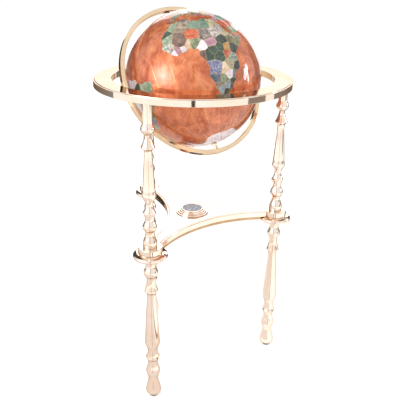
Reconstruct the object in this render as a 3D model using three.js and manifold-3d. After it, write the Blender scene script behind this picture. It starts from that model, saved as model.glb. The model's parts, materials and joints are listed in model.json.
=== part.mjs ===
// Floor-standing stone globe. A ball veneered with stone turns on two pole screws in a meridian ring,
// the meridian ring tilts on two gimbal pins in a flat horizon ring, and the horizon ring stands on
// three turned legs that a shelf with a compass ties together. Millimetres, +Z up.
import * as THREE from 'three';
import { mergeVertices } from 'three/addons/utils/BufferGeometryUtils.js';
import Module from 'manifold-3d';

const wasm = await Module();
wasm.setup();

// ---- Driving dimensions, millimetres ----

// Clearance left between two pieces that touch.
const GAP = 0.3;

// Ball: an outer veneer of stone on a core made of two halves.
const BALL_RADIUS = 165;
const VENEER_THICKNESS = 3;
const CORE_THICKNESS = 5;
const CORE_SEAM = 0.4;
const GLUE_GAP = 0.6;
const POLE_HOLE_RADIUS = 7;

// Meridian ring and the pole screws that hold the ball in it.
const POLE_GAP = 14.5;
const MERIDIAN_THICKNESS = 10;
const MERIDIAN_WIDTH = 13;
const MERIDIAN_TILT = THREE.MathUtils.degToRad(34);
const POLE_SCREW_RADIUS = 2.8;
const POLE_HEAD_RADIUS = 5;
const POLE_HEAD_HEIGHT = 3;
const POLE_SPACER_RADIUS = 5.2;
const POLE_SCREW_REACH = 9;
const HUB_FLANGE_RADIUS = 13;
const HUB_FLANGE_THICKNESS = 3;

// Gimbal pins between the meridian ring and the horizon ring.
const RING_CLEARANCE = 6.6;
const GIMBAL_PIN_RADIUS = 2.8;
const GIMBAL_COLLAR_RADIUS = 5;
const GIMBAL_COLLAR_PLAY = 0.8;
const GIMBAL_PIN_DEPTH = 12;
const GIMBAL_BUSH_WALL = 1.6;
const RUNNING_PLAY = 0.25;

// Horizon ring: a flat bar with a small step round its outer top edge.
const RING_WIDTH = 43.6;
const RING_THICKNESS = 16;
const RING_STEP_WIDTH = 4;
const RING_STEP_DEPTH = 1.4;
const RING_CHAMFER = 0.9;

// Legs: three, evenly spaced, the first one at the back.
const LEG_NAMES = ['back', 'left', 'right'];
const LEG_INSET = 16.1;
const LOWER_LEG_LENGTH = 406.9;
const UPPER_LEG_LENGTH = 340.9;
const STUD_RADIUS = 4;
const STUD_PLAY = 0.3;
const RING_STUD_IN_LEG = 26;
const RING_STUD_IN_RING = 10;
const TIE_ROD_IN_LEG = 24;
const FOOT_PAD_RADIUS = 9.6;
const FOOT_PAD_THICKNESS = 2;
const SHORTEST_SHAFT = 6;

// Shelf: a plate with three hollow sides, an edge band on each side and a round boss at each leg.
const FLANGE_RADIUS = 41.5;
const FLANGE_THICKNESS = 12.2;
const BOSS_RADIUS = 28.9;
const BOSS_HEIGHT = 15;
const SHELF_WAIST = 66.4;
const SHELF_LEG_OFFSET = 18.8;
const BAND_THICKNESS = 6;
const PLATE_CLEARANCE = 0.6;
const SUBPLATE_THICKNESS = 7.6;
const SUBPLATE_INSET = 3;

// Compass at the middle of the shelf.
const COMPASS_RIM = 3.7;
const COMPASS_STEPS = 4;
const COMPASS_STEP_WIDTH = 4.5;
const COMPASS_STEP_HEIGHT = 2.7;
const DIAL_RADIUS = 24.9;
const DIAL_THICKNESS = 1.2;
const GLASS_THICKNESS = 1.4;
const NEEDLE_HEADROOM = 1.2;
const NEEDLE_LENGTH = 33;
const NEEDLE_WIDTH = 4.4;
const NEEDLE_THICKNESS = 0.8;
const NEEDLE_EYE_RADIUS = 1.3;
const PIVOT_RADIUS = 0.9;
const PIVOT_BASE_RADIUS = 2;
const PIVOT_HEIGHT = 2.6;

// Facets: sides of the big rings, of a disc, of a leg, of a small round piece and of a rod, the ball's
// sides and its bands from pole to pole, and the steps along a hollow side of the shelf.
const RING_SIDES = 48;
const DISC_SIDES = 24;
const LEG_SIDES = 12;
const SMALL_SIDES = 12;
const ROD_SIDES = 8;
const BALL_SIDES = 32;
const BALL_BANDS = 14;
const SIDE_STEPS = 12;

// ---- Turned profiles ----
// Each station is [distance from that end of the leg, radius, 'round' or 'edge'].

const UPPER_LEG_TOP = [
  [0, 11, 'edge'],
  [43, 11, 'edge'],
  [45.5, 11.5, 'edge'],
  [57, 16, 'round'],
  [69, 9, 'edge'],
  [70.1, 7.5, 'round'],
  [98.2, 16.3, 'edge'],
  [101, 14, 'edge'],
  [107.9, 9, 'round'],
  [146, 11.2, 'edge'],
];
const UPPER_LEG_BOTTOM = [
  [0, 16.6, 'edge'],
  [9, 16.9, 'round'],
  [34.9, 10.7, 'round'],
  [50.8, 17, 'round'],
  [69.7, 10.6, 'round'],
  [87.3, 15.9, 'edge'],
  [91, 13.2, 'edge'],
  [108.2, 8.7, 'round'],
  [128, 16.2, 'round'],
  [141, 14.7, 'edge'],
];
const LOWER_LEG_TOP = [
  [0, 13, 'edge'],
  [21, 11.5, 'round'],
  [41.6, 17.7, 'round'],
  [60, 10.6, 'round'],
  [92.1, 17, 'edge'],
  [95, 15, 'edge'],
  [103.2, 11.4, 'round'],
  [164, 14.7, 'edge'],
];
const LOWER_LEG_BOTTOM = [
  [0, 10, 'edge'],
  [14, 19.3, 'round'],
  [52.4, 12.7, 'round'],
  [75.6, 18.1, 'round'],
  [100.2, 12.4, 'round'],
  [118.6, 18.3, 'edge'],
  [122, 16, 'edge'],
  [138.5, 12.5, 'round'],
  [165, 18.8, 'round'],
];

// ---- Sizes that follow from them ----

const THIRD_TURN = (2 * Math.PI) / 3;
const MERIDIAN_INNER = BALL_RADIUS + POLE_GAP;
const MERIDIAN_OUTER = MERIDIAN_INNER + MERIDIAN_THICKNESS;
const MERIDIAN_REACH = Math.hypot(MERIDIAN_OUTER, MERIDIAN_WIDTH / 2);
const RING_INNER = MERIDIAN_REACH + RING_CLEARANCE;
const RING_OUTER = RING_INNER + RING_WIDTH;
const LEG_CIRCLE = RING_OUTER - LEG_INSET;
const STUD_HOLE = STUD_RADIUS + STUD_PLAY;

const LOWER_LEG_Z = FOOT_PAD_THICKNESS + GAP;
const FLANGE_Z = LOWER_LEG_Z + LOWER_LEG_LENGTH + GAP;
const BOSS_Z = FLANGE_Z + FLANGE_THICKNESS + GAP;
const SHELF_TOP = BOSS_Z + BOSS_HEIGHT;
const UPPER_LEG_Z = SHELF_TOP + GAP;
const RING_Z = UPPER_LEG_Z + UPPER_LEG_LENGTH + GAP;
const BALL_Z = RING_Z + RING_THICKNESS / 2;

// The radius of a hollow side follows from how far it stays from the middle and from the leg's axis.
const SIDE_ARC = (LEG_CIRCLE ** 2 + SHELF_WAIST ** 2 - SHELF_WAIST * LEG_CIRCLE - SHELF_LEG_OFFSET ** 2)
  / (LEG_CIRCLE + 2 * SHELF_LEG_OFFSET - 2 * SHELF_WAIST);

// The origin is under the middle of the object's box, which the back leg's flange makes longer in Y.
const FORE_AND_AFT_SHIFT = (Math.max(LEG_CIRCLE + FLANGE_RADIUS, RING_OUTER) - RING_OUTER) / 2;

// ---- Materials ----

function finish(color, roughness, metalness) {
  return () => new THREE.MeshStandardMaterial({ color, roughness, metalness });
}

const paleGold = finish(0xe9d3a8, 0.12, 1);
const steel = finish(0xb9bcc0, 0.3, 1);
const bronze = finish(0xb08d57, 0.35, 1);
const oceanStone = finish(0xb5622f, 0.15, 0);
const resin = finish(0xd9d2c3, 0.6, 0);
const felt = finish(0x3a3a38, 0.95, 0);
const dialBlue = finish(0x66738c, 0.35, 0);
const clearGlass = finish(0xe6f0f2, 0.03, 0);
const needleRed = finish(0x9c2a22, 0.4, 0.2);

// ---- Shape helpers ----

// Revolves a profile of [radius, height] pairs about Z. It starts and ends on the axis, or it is closed.
function turned(profile, sides) {
  const points = profile.map(([radius, height]) => new THREE.Vector2(radius, height));
  return new THREE.LatheGeometry(points, sides).rotateX(Math.PI / 2);
}

// A rod or a round cutter from one height to another.
function rod(radius, low, high, sides = SMALL_SIDES) {
  return turned([[0, low], [radius, low], [radius, high], [0, high]], sides);
}

// A sleeve from one height to another.
function sleeve(inner, outer, low, high, sides = SMALL_SIDES) {
  return turned([[inner, low], [outer, low], [outer, high], [inner, high], [inner, low]], sides);
}

// Points between two stations of a turning: rounds meet their neighbours smoothly, edges stay sharp.
function between([startAt, startRadius, startKind], [endAt, endRadius, endKind]) {
  const curves = {
    'edge edge': (t) => t,
    'edge round': (t) => Math.sin((t * Math.PI) / 2),
    'round edge': (t) => 1 - Math.cos((t * Math.PI) / 2),
    'round round': (t) => (1 - Math.cos(t * Math.PI)) / 2,
  };
  const curve = curves[`${startKind} ${endKind}`];
  const steps = startKind === 'edge' && endKind === 'edge' ? 1 : 2;
  const points = [];
  for (let i = 1; i <= steps; i += 1) {
    const t = i / steps;
    points.push([startAt + (endAt - startAt) * t, startRadius + (endRadius - startRadius) * curve(t)]);
  }
  return points;
}

// The whole run of a turning, as [distance from its first station's end, radius].
function turning(stations) {
  const points = [[stations[0][0], stations[0][1]]];
  for (let i = 1; i < stations.length; i += 1) {
    points.push(...between(stations[i - 1], stations[i]));
  }
  return points;
}

// A leg piece from height 0 to length, with a blind stud hole in each end. The bottom and top groups
// keep their sizes, and the plain shaft between them takes up any change of length. Where that would
// leave less than the shortest shaft, both groups are drawn closer together along the leg.
function legPiece(length, bottomStations, topStations, bottomHole, topHole) {
  const turnedRun = bottomStations.at(-1)[0] + topStations.at(-1)[0];
  const draw = Math.min(1, (length - SHORTEST_SHAFT) / turnedRun);
  const bottom = turning(bottomStations).map(([at, radius]) => [radius, at * draw]);
  const top = turning(topStations).map(([at, radius]) => [radius, length - at * draw]).reverse();
  const profile = [...bottom, ...top];
  if (bottomHole > 0) {
    profile.unshift([0, bottomHole], [STUD_HOLE, bottomHole], [STUD_HOLE, 0]);
  } else {
    profile.unshift([0, 0]);
  }
  profile.push([STUD_HOLE, length], [STUD_HOLE, length - topHole], [0, length - topHole]);
  return turned(profile, LEG_SIDES);
}

// A closed three.js geometry as a manifold solid, and back.
function toSolid(geometry) {
  const bare = geometry.clone();
  bare.deleteAttribute('normal');
  bare.deleteAttribute('uv');
  const merged = mergeVertices(bare, 1e-4);
  const corners = merged.getIndex().array;
  const kept = [];
  for (let i = 0; i < corners.length; i += 3) {
    const [a, b, c] = [corners[i], corners[i + 1], corners[i + 2]];
    if (a !== b && b !== c && c !== a) kept.push(a, b, c);
  }
  return new wasm.Manifold(new wasm.Mesh({
    numProp: 3,
    vertProperties: new Float32Array(merged.getAttribute('position').array),
    triVerts: new Uint32Array(kept),
  }));
}

function fromSolid(solid) {
  const mesh = solid.getMesh();
  const geometry = new THREE.BufferGeometry();
  geometry.setAttribute('position', new THREE.BufferAttribute(new Float32Array(mesh.vertProperties), 3));
  geometry.setIndex(new THREE.BufferAttribute(new Uint32Array(mesh.triVerts), 1));
  return geometry;
}

function cut(geometry, cutters) {
  const solid = cutters.reduce((body, cutter) => body.subtract(toSolid(cutter)), toSolid(geometry));
  return fromSolid(solid);
}

function piece(name, geometry, material) {
  const mesh = new THREE.Mesh(geometry, material());
  mesh.name = name;
  return mesh;
}

// The angle of a leg about the stand's axis: the back leg is at +Y, and the others follow round.
function legAngle(index) {
  return Math.PI / 2 + index * THIRD_TURN;
}

// A group at a leg's place, so that a leg's pieces are drawn about their own axis.
function legGroup(index) {
  const group = new THREE.Group();
  group.position.set(LEG_CIRCLE * Math.cos(legAngle(index)), LEG_CIRCLE * Math.sin(legAngle(index)), 0);
  return group;
}

// ---- Ball ----

// A profile of part of a hollow ball between two angles from the north pole.
function shellProfile(inner, outer, fromAngle, toAngle, bands) {
  const profile = [];
  for (let i = 0; i <= bands; i += 1) {
    const angle = toAngle + ((fromAngle - toAngle) * i) / bands;
    profile.push([outer * Math.sin(angle), outer * Math.cos(angle)]);
  }
  for (let i = 0; i <= bands; i += 1) {
    const angle = fromAngle + ((toAngle - fromAngle) * i) / bands;
    profile.push([inner * Math.sin(angle), inner * Math.cos(angle)]);
  }
  profile.push(profile[0]);
  return profile;
}

function ball() {
  const group = new THREE.Group();
  const veneerInner = BALL_RADIUS - VENEER_THICKNESS;
  const coreOuter = veneerInner - GLUE_GAP;
  const coreInner = coreOuter - CORE_THICKNESS;
  const poleAngle = Math.asin(POLE_HOLE_RADIUS / coreInner);
  const veneer = shellProfile(veneerInner, BALL_RADIUS, poleAngle, Math.PI - poleAngle, BALL_BANDS);
  group.add(piece('stone_veneer', turned(veneer, BALL_SIDES), oceanStone));

  const seamAngle = Math.PI / 2 - CORE_SEAM / 2 / coreInner;
  const half = shellProfile(coreInner, coreOuter, poleAngle, seamAngle, BALL_BANDS / 2);
  const north = piece('ball_core_north', turned(half, BALL_SIDES), resin);
  const south = piece('ball_core_south', turned(half, BALL_SIDES), resin);
  south.rotation.x = Math.PI;
  group.add(north, south);

  // A hub plugs the hole at each pole. Its flange lies inside the core, and its bore turns on the screw.
  const bore = POLE_SCREW_RADIUS + RUNNING_PLAY;
  const barrel = POLE_HOLE_RADIUS - GAP * 2;
  const flangeTop = (coreInner - GAP) * Math.cos(Math.asin(HUB_FLANGE_RADIUS / coreInner)) - GAP * 2;
  const hubTop = BALL_RADIUS * Math.cos(poleAngle) - GAP;
  const hub = turned([
    [bore, flangeTop - HUB_FLANGE_THICKNESS],
    [HUB_FLANGE_RADIUS, flangeTop - HUB_FLANGE_THICKNESS],
    [HUB_FLANGE_RADIUS, flangeTop],
    [barrel, flangeTop],
    [barrel, hubTop],
    [bore, hubTop],
    [bore, flangeTop - HUB_FLANGE_THICKNESS],
  ], SMALL_SIDES);
  const northHub = piece('ball_hub_north', hub, bronze);
  const southHub = piece('ball_hub_south', hub.clone(), bronze);
  southHub.rotation.x = Math.PI;
  group.add(northHub, southHub);
  return group;
}

// ---- Meridian ring, its pole screws and its gimbal bushes ----

function meridian() {
  const group = new THREE.Group();
  const half = MERIDIAN_WIDTH / 2;
  const bar = sleeve(MERIDIAN_INNER, MERIDIAN_OUTER, -half, half, RING_SIDES).rotateX(Math.PI / 2);
  const bushOuter = GIMBAL_PIN_RADIUS + RUNNING_PLAY + GIMBAL_BUSH_WALL;
  const poleBore = rod(POLE_SCREW_RADIUS + GAP, -MERIDIAN_OUTER - GAP, MERIDIAN_OUTER + GAP);
  const headSeat = MERIDIAN_OUTER - POLE_HEAD_HEIGHT - GAP;
  const northSeat = rod(POLE_HEAD_RADIUS + GAP, headSeat, MERIDIAN_OUTER + 2);
  const southSeat = northSeat.clone().rotateX(Math.PI);
  const gimbalBore = rod(bushOuter + GAP, -MERIDIAN_OUTER - 2, MERIDIAN_OUTER + 2).rotateY(Math.PI / 2);
  group.add(piece('meridian_ring', cut(bar, [poleBore, northSeat, southSeat, gimbalBore]), paleGold));

  const headTop = MERIDIAN_OUTER - GAP;
  const headLow = headTop - POLE_HEAD_HEIGHT + GAP;
  const screwEnd = BALL_RADIUS - POLE_SCREW_REACH;
  const screw = turned([
    [0, screwEnd],
    [POLE_SCREW_RADIUS, screwEnd],
    [POLE_SCREW_RADIUS, headLow],
    [POLE_HEAD_RADIUS, headLow],
    [POLE_HEAD_RADIUS, headTop],
    [0, headTop],
  ], SMALL_SIDES);
  const spacerInner = POLE_SCREW_RADIUS + GAP;
  const spacer = sleeve(spacerInner, POLE_SPACER_RADIUS, BALL_RADIUS + GAP * 2, MERIDIAN_INNER - GAP * 2);
  for (const [end, turn] of [['north', 0], ['south', Math.PI]]) {
    const screwPiece = piece(`pole_screw_${end}`, screw.clone(), paleGold);
    const spacerPiece = piece(`pole_spacer_${end}`, spacer.clone(), paleGold);
    screwPiece.rotation.x = turn;
    spacerPiece.rotation.x = turn;
    group.add(screwPiece, spacerPiece);
  }

  const bushBore = GIMBAL_PIN_RADIUS + RUNNING_PLAY;
  const bush = sleeve(bushBore, bushOuter, MERIDIAN_INNER + GAP, MERIDIAN_OUTER - GAP);
  for (const [side, turn] of [['east', Math.PI / 2], ['west', -Math.PI / 2]]) {
    const bushPiece = piece(`gimbal_bush_${side}`, bush.clone(), bronze);
    bushPiece.rotation.y = turn;
    group.add(bushPiece);
  }
  return group;
}

// ---- Horizon ring, gimbal pins and leg studs ----

function horizonRing() {
  const group = new THREE.Group();
  const top = RING_Z + RING_THICKNESS;
  const stepRadius = RING_OUTER - RING_STEP_WIDTH;
  const bar = turned([
    [RING_INNER + RING_CHAMFER, RING_Z],
    [RING_OUTER - RING_CHAMFER, RING_Z],
    [RING_OUTER, RING_Z + RING_CHAMFER],
    [RING_OUTER, top - RING_STEP_DEPTH],
    [stepRadius, top - RING_STEP_DEPTH],
    [stepRadius, top],
    [RING_INNER + RING_CHAMFER, top],
    [RING_INNER, top - RING_CHAMFER],
    [RING_INNER, RING_Z + RING_CHAMFER],
    [RING_INNER + RING_CHAMFER, RING_Z],
  ], RING_SIDES);
  const studHole = rod(STUD_HOLE, RING_Z - 1, RING_Z + RING_STUD_IN_RING + GAP);
  const studHoles = LEG_NAMES.map((name, index) => studHole.clone().translate(
    LEG_CIRCLE * Math.cos(legAngle(index)), LEG_CIRCLE * Math.sin(legAngle(index)), 0));
  const pinHoleEnd = RING_INNER + GIMBAL_PIN_DEPTH + GAP;
  const pinHole = rod(GIMBAL_PIN_RADIUS + GAP, RING_INNER - 4, pinHoleEnd);
  const pinHoles = [Math.PI / 2, -Math.PI / 2].map(
    (turn) => pinHole.clone().rotateY(turn).translate(0, 0, BALL_Z));
  group.add(piece('horizon_ring', cut(bar, [...studHoles, ...pinHoles]), paleGold));

  const collarStart = MERIDIAN_OUTER + GIMBAL_COLLAR_PLAY;
  const collarEnd = RING_INNER * Math.cos(Math.PI / RING_SIDES) - GAP;
  const pin = turned([
    [0, MERIDIAN_INNER + GAP],
    [GIMBAL_PIN_RADIUS, MERIDIAN_INNER + GAP],
    [GIMBAL_PIN_RADIUS, collarStart],
    [GIMBAL_COLLAR_RADIUS, collarStart],
    [GIMBAL_COLLAR_RADIUS, collarEnd],
    [GIMBAL_PIN_RADIUS, collarEnd],
    [GIMBAL_PIN_RADIUS, RING_INNER + GIMBAL_PIN_DEPTH],
    [0, RING_INNER + GIMBAL_PIN_DEPTH],
  ], SMALL_SIDES);
  for (const [side, turn] of [['east', Math.PI / 2], ['west', -Math.PI / 2]]) {
    const pinPiece = piece(`gimbal_pin_${side}`, pin.clone(), paleGold);
    pinPiece.rotation.y = turn;
    pinPiece.position.z = BALL_Z;
    group.add(pinPiece);
  }
  return group;
}

// ---- Legs, each with its studs, boss, flange and foot pad ----

function leg(index) {
  const name = LEG_NAMES[index];
  const group = legGroup(index);
  const rodInLowerLeg = FLANGE_Z - GAP - TIE_ROD_IN_LEG;
  const rodInUpperLeg = UPPER_LEG_Z + TIE_ROD_IN_LEG;
  const lower = legPiece(LOWER_LEG_LENGTH, LOWER_LEG_BOTTOM, LOWER_LEG_TOP, 0, TIE_ROD_IN_LEG + GAP);
  const upperHoles = [TIE_ROD_IN_LEG + GAP, RING_STUD_IN_LEG + GAP];
  const upper = legPiece(UPPER_LEG_LENGTH, UPPER_LEG_BOTTOM, UPPER_LEG_TOP, ...upperHoles);
  lower.translate(0, 0, LOWER_LEG_Z);
  upper.translate(0, 0, UPPER_LEG_Z);
  group.add(piece(`lower_leg_${name}`, lower, paleGold));
  group.add(piece(`upper_leg_${name}`, upper, paleGold));
  group.add(piece(`foot_pad_${name}`, rod(FOOT_PAD_RADIUS, 0, FOOT_PAD_THICKNESS), felt));
  group.add(piece(`tie_rod_${name}`, rod(STUD_RADIUS, rodInLowerLeg, rodInUpperLeg, ROD_SIDES), steel));
  const studLow = RING_Z - GAP - RING_STUD_IN_LEG;
  const studHigh = RING_Z + RING_STUD_IN_RING;
  group.add(piece(`ring_stud_${name}`, rod(STUD_RADIUS, studLow, studHigh, ROD_SIDES), steel));

  // The flange slopes down from the boss to a rounded rim, like a saucer turned over.
  const flangeTop = FLANGE_Z + FLANGE_THICKNESS;
  const flange = turned([
    [STUD_HOLE, FLANGE_Z],
    [FLANGE_RADIUS - 3, FLANGE_Z],
    [FLANGE_RADIUS - 0.8, FLANGE_Z + 1.6],
    [FLANGE_RADIUS, FLANGE_Z + 4.2],
    [FLANGE_RADIUS - 0.9, FLANGE_Z + 7.2],
    [FLANGE_RADIUS - 4, FLANGE_Z + 9.6],
    [BOSS_RADIUS + 3, flangeTop],
    [STUD_HOLE, flangeTop],
    [STUD_HOLE, FLANGE_Z],
  ], DISC_SIDES);
  const bossChamfer = 1.2;
  const boss = turned([
    [STUD_HOLE, BOSS_Z],
    [BOSS_RADIUS, BOSS_Z],
    [BOSS_RADIUS, SHELF_TOP - bossChamfer],
    [BOSS_RADIUS - bossChamfer, SHELF_TOP],
    [STUD_HOLE, SHELF_TOP],
    [STUD_HOLE, BOSS_Z],
  ], DISC_SIDES);
  group.add(piece(`flange_${name}`, flange, paleGold));
  group.add(piece(`boss_${name}`, boss, paleGold));
  return group;
}

// ---- Shelf ----

// A line along a hollow side, offset inwards from its outer face, from one leg's axis to the next.
// The side faces the angle given, and the points run round the middle in the same sense as the legs.
function sideLine(facing, offset, steps) {
  const centre = SHELF_WAIST + SIDE_ARC;
  const legAcross = LEG_CIRCLE * Math.sin(THIRD_TURN / 2);
  const legAlong = centre - LEG_CIRCLE * Math.cos(THIRD_TURN / 2);
  const sweep = Math.atan2(legAcross, legAlong);
  const radius = SIDE_ARC + offset;
  const points = [];
  for (let i = 0; i <= steps; i += 1) {
    const angle = -sweep + (2 * sweep * i) / steps;
    const along = centre - radius * Math.cos(angle);
    const across = radius * Math.sin(angle);
    points.push(new THREE.Vector2(
      along * Math.cos(facing) - across * Math.sin(facing),
      along * Math.sin(facing) + across * Math.cos(facing)));
  }
  return points;
}

function slab(outline, low, high) {
  const shape = new THREE.Shape(outline);
  return new THREE.ExtrudeGeometry(shape, { depth: high - low, bevelEnabled: false, steps: 1 })
    .translate(0, 0, low);
}

function legCutters(radius) {
  return LEG_NAMES.map((name, index) => rod(radius, FLANGE_Z - 2, SHELF_TOP + 2, DISC_SIDES).translate(
    LEG_CIRCLE * Math.cos(legAngle(index)), LEG_CIRCLE * Math.sin(legAngle(index)), 0));
}

function hollowTriangle(offset) {
  return LEG_NAMES.flatMap((name, index) => sideLine(legAngle(index) + THIRD_TURN / 2, offset, SIDE_STEPS));
}

function shelf() {
  const group = new THREE.Group();
  const bossCutters = legCutters(BOSS_RADIUS + GAP);
  const plateBottom = BOSS_Z + PLATE_CLEARANCE;
  const plate = slab(hollowTriangle(BAND_THICKNESS + GAP), plateBottom, SHELF_TOP);
  group.add(piece('shelf_plate', cut(plate, bossCutters), paleGold));

  const subplateTop = BOSS_Z - GAP;
  const subplate = slab(hollowTriangle(SUBPLATE_INSET), subplateTop - SUBPLATE_THICKNESS, subplateTop);
  group.add(piece('shelf_subplate', cut(subplate, legCutters(FLANGE_RADIUS + GAP)), paleGold));

  const bandNames = ['band_left', 'band_front', 'band_right'];
  bandNames.forEach((name, index) => {
    const facing = legAngle(index) + THIRD_TURN / 2;
    const outer = sideLine(facing, 0, SIDE_STEPS);
    const inner = sideLine(facing, BAND_THICKNESS, SIDE_STEPS).reverse();
    const band = slab([...outer, ...inner], BOSS_Z, SHELF_TOP);
    group.add(piece(`shelf_${name}`, cut(band, bossCutters), paleGold));
  });
  return group;
}

// ---- Compass ----

function compass() {
  const group = new THREE.Group();
  const base = SHELF_TOP + GAP;
  const top = base + COMPASS_STEPS * COMPASS_STEP_HEIGHT;
  const cupRadius = DIAL_RADIUS + GAP;
  const floor = top - GLASS_THICKNESS - NEEDLE_HEADROOM - PIVOT_HEIGHT - DIAL_THICKNESS - GAP * 2;
  const bezel = [[0, base]];
  for (let step = 0; step < COMPASS_STEPS; step += 1) {
    const radius = cupRadius + COMPASS_RIM + (COMPASS_STEPS - 1 - step) * COMPASS_STEP_WIDTH;
    const stepLow = base + step * COMPASS_STEP_HEIGHT;
    bezel.push([radius, stepLow], [radius, stepLow + COMPASS_STEP_HEIGHT]);
  }
  bezel.push([cupRadius, top], [cupRadius, floor], [0, floor]);
  group.add(piece('compass_bezel', turned(bezel, DISC_SIDES), paleGold));

  const dialLow = floor + GAP;
  const dialTop = dialLow + DIAL_THICKNESS;
  group.add(piece('compass_dial', rod(DIAL_RADIUS, dialLow, dialTop, DISC_SIDES), dialBlue));

  // The pivot stands on the dial, and the needle turns on the narrow neck above its foot.
  const pivotLow = dialTop + GAP;
  const footTop = pivotLow + (PIVOT_HEIGHT - NEEDLE_THICKNESS) / 2;
  const pivot = turned([
    [0, pivotLow],
    [PIVOT_BASE_RADIUS, pivotLow],
    [PIVOT_BASE_RADIUS, footTop],
    [PIVOT_RADIUS, footTop],
    [PIVOT_RADIUS, pivotLow + PIVOT_HEIGHT],
    [0, pivotLow + PIVOT_HEIGHT],
  ], ROD_SIDES);
  group.add(piece('compass_pivot', pivot, bronze));

  const tip = NEEDLE_LENGTH / 2;
  const side = NEEDLE_WIDTH / 2;
  const lozenge = new THREE.Shape([
    new THREE.Vector2(0, -tip),
    new THREE.Vector2(side, 0),
    new THREE.Vector2(0, tip),
    new THREE.Vector2(-side, 0),
  ]);
  const eye = new THREE.Path().absarc(0, 0, NEEDLE_EYE_RADIUS, 0, 2 * Math.PI, true);
  lozenge.holes.push(eye);
  const needle = new THREE.ExtrudeGeometry(lozenge, {
    depth: NEEDLE_THICKNESS,
    bevelEnabled: false,
    curveSegments: 8,
  });
  needle.translate(0, 0, footTop + GAP);
  group.add(piece('compass_needle', needle, needleRed));

  const glassLow = top - GLASS_THICKNESS;
  group.add(piece('compass_glass', rod(DIAL_RADIUS, glassLow, top, DISC_SIDES), clearGlass));
  return group;
}

// ---- Assembly ----

const globe = new THREE.Group();
globe.add(meridian(), ball());
globe.position.z = BALL_Z;
globe.rotation.x = -MERIDIAN_TILT;

const stand = new THREE.Group();
stand.add(horizonRing(), shelf(), compass(), globe);
LEG_NAMES.forEach((name, index) => stand.add(leg(index)));
stand.position.y = -FORE_AND_AFT_SHIFT;

export default stand;
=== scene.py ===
"""A stone globe on a turned, three-legged floor stand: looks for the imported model. Metres, +Z up."""

import json
import math

import bmesh
import bpy
from mathutils import Matrix, Vector, noise


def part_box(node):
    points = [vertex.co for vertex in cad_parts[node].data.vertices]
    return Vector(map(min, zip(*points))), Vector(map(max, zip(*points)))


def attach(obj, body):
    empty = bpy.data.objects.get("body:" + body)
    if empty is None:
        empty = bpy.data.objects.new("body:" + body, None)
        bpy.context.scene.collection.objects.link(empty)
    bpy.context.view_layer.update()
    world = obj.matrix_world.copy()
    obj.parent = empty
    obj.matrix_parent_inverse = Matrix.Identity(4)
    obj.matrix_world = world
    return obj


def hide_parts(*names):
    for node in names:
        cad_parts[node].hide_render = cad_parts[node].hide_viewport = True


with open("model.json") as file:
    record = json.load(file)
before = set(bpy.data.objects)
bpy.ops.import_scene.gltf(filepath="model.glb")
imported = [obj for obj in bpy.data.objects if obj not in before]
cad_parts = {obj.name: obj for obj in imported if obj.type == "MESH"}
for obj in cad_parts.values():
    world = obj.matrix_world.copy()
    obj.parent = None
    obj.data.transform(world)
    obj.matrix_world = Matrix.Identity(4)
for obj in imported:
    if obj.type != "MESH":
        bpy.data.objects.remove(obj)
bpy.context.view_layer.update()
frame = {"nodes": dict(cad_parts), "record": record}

# ---- Sizes taken from the frame ----

MM = 0.001
JOINTS = {joint["name"]: joint for joint in frame["record"]["behaviour"]["joints"]}
BALL_MIDDLE = Vector(JOINTS["globe_spin"]["pos_m"])
POLE = Vector(JOINTS["globe_spin"]["axis"]).normalized()
STAND_Y = BALL_MIDDLE.y
LEGS = ("back", "left", "right")
SIDES = ("left", "front", "right")


def low(node):
    return Vector(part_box(node)[0])


def high(node):
    return Vector(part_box(node)[1])


def middle(node):
    return (low(node) + high(node)) / 2


RING_LOW = low("horizon_ring").z
RING_TOP = high("horizon_ring").z
RING_OUTER = high("horizon_ring").x
MERIDIAN_OUTER = high("meridian_ring").x
SHELF_TOP = high("boss_back").z
BOSS_LOW = low("boss_back").z
FLANGE_LOW = low("flange_back").z
LEG_PLACE = {leg: middle("lower_leg_" + leg) for leg in LEGS}
LEG_CIRCLE = LEG_PLACE["back"].y - STAND_Y

# ---- Sizes that the boxes can't give, as in the part ----

BALL_RADIUS = 165 * MM
VENEER = 3 * MM
OCEAN_RADIUS = 163.8 * MM
STONE_FOOT = 163.2 * MM
STONE_FACE = 164.05 * MM
POLE_HOLE = 7 * MM
MERIDIAN_THICKNESS = 10 * MM
MERIDIAN_WIDTH = 13 * MM
MERIDIAN_INNER = MERIDIAN_OUTER - MERIDIAN_THICKNESS
RING_WIDTH = 43.6 * MM
RING_INNER = RING_OUTER - RING_WIDTH
RING_STEP_WIDTH = 4 * MM
RING_STEP_DEPTH = 1.4 * MM
STUD_HOLE = 4.3 * MM
STUD_IN_LEG = 26.3 * MM
TIE_IN_LEG = 24.3 * MM
BOSS_RADIUS = 28.9 * MM
FLANGE_RADIUS = 41.5 * MM
SHELF_WAIST = 66.4 * MM
SHELF_LEG_OFFSET = 18.8 * MM
BAND = 6 * MM
PLATE_CLEARANCE = 0.6 * MM
GAP = 0.3 * MM
SUBPLATE = 7.6 * MM
SUBPLATE_INSET = 3 * MM
COMPASS_RADIUS = 42.4 * MM
COMPASS_STEPS = 4
STEP_WIDTH = 4.5 * MM
STEP_HEIGHT = (high("compass_bezel").z - low("compass_bezel").z) / COMPASS_STEPS
DIAL_RADIUS = 24.9 * MM
SPIN = math.radians(-123.5)
WIRE = 0.26 * MM
WIRE_SPACING = 15

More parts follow.
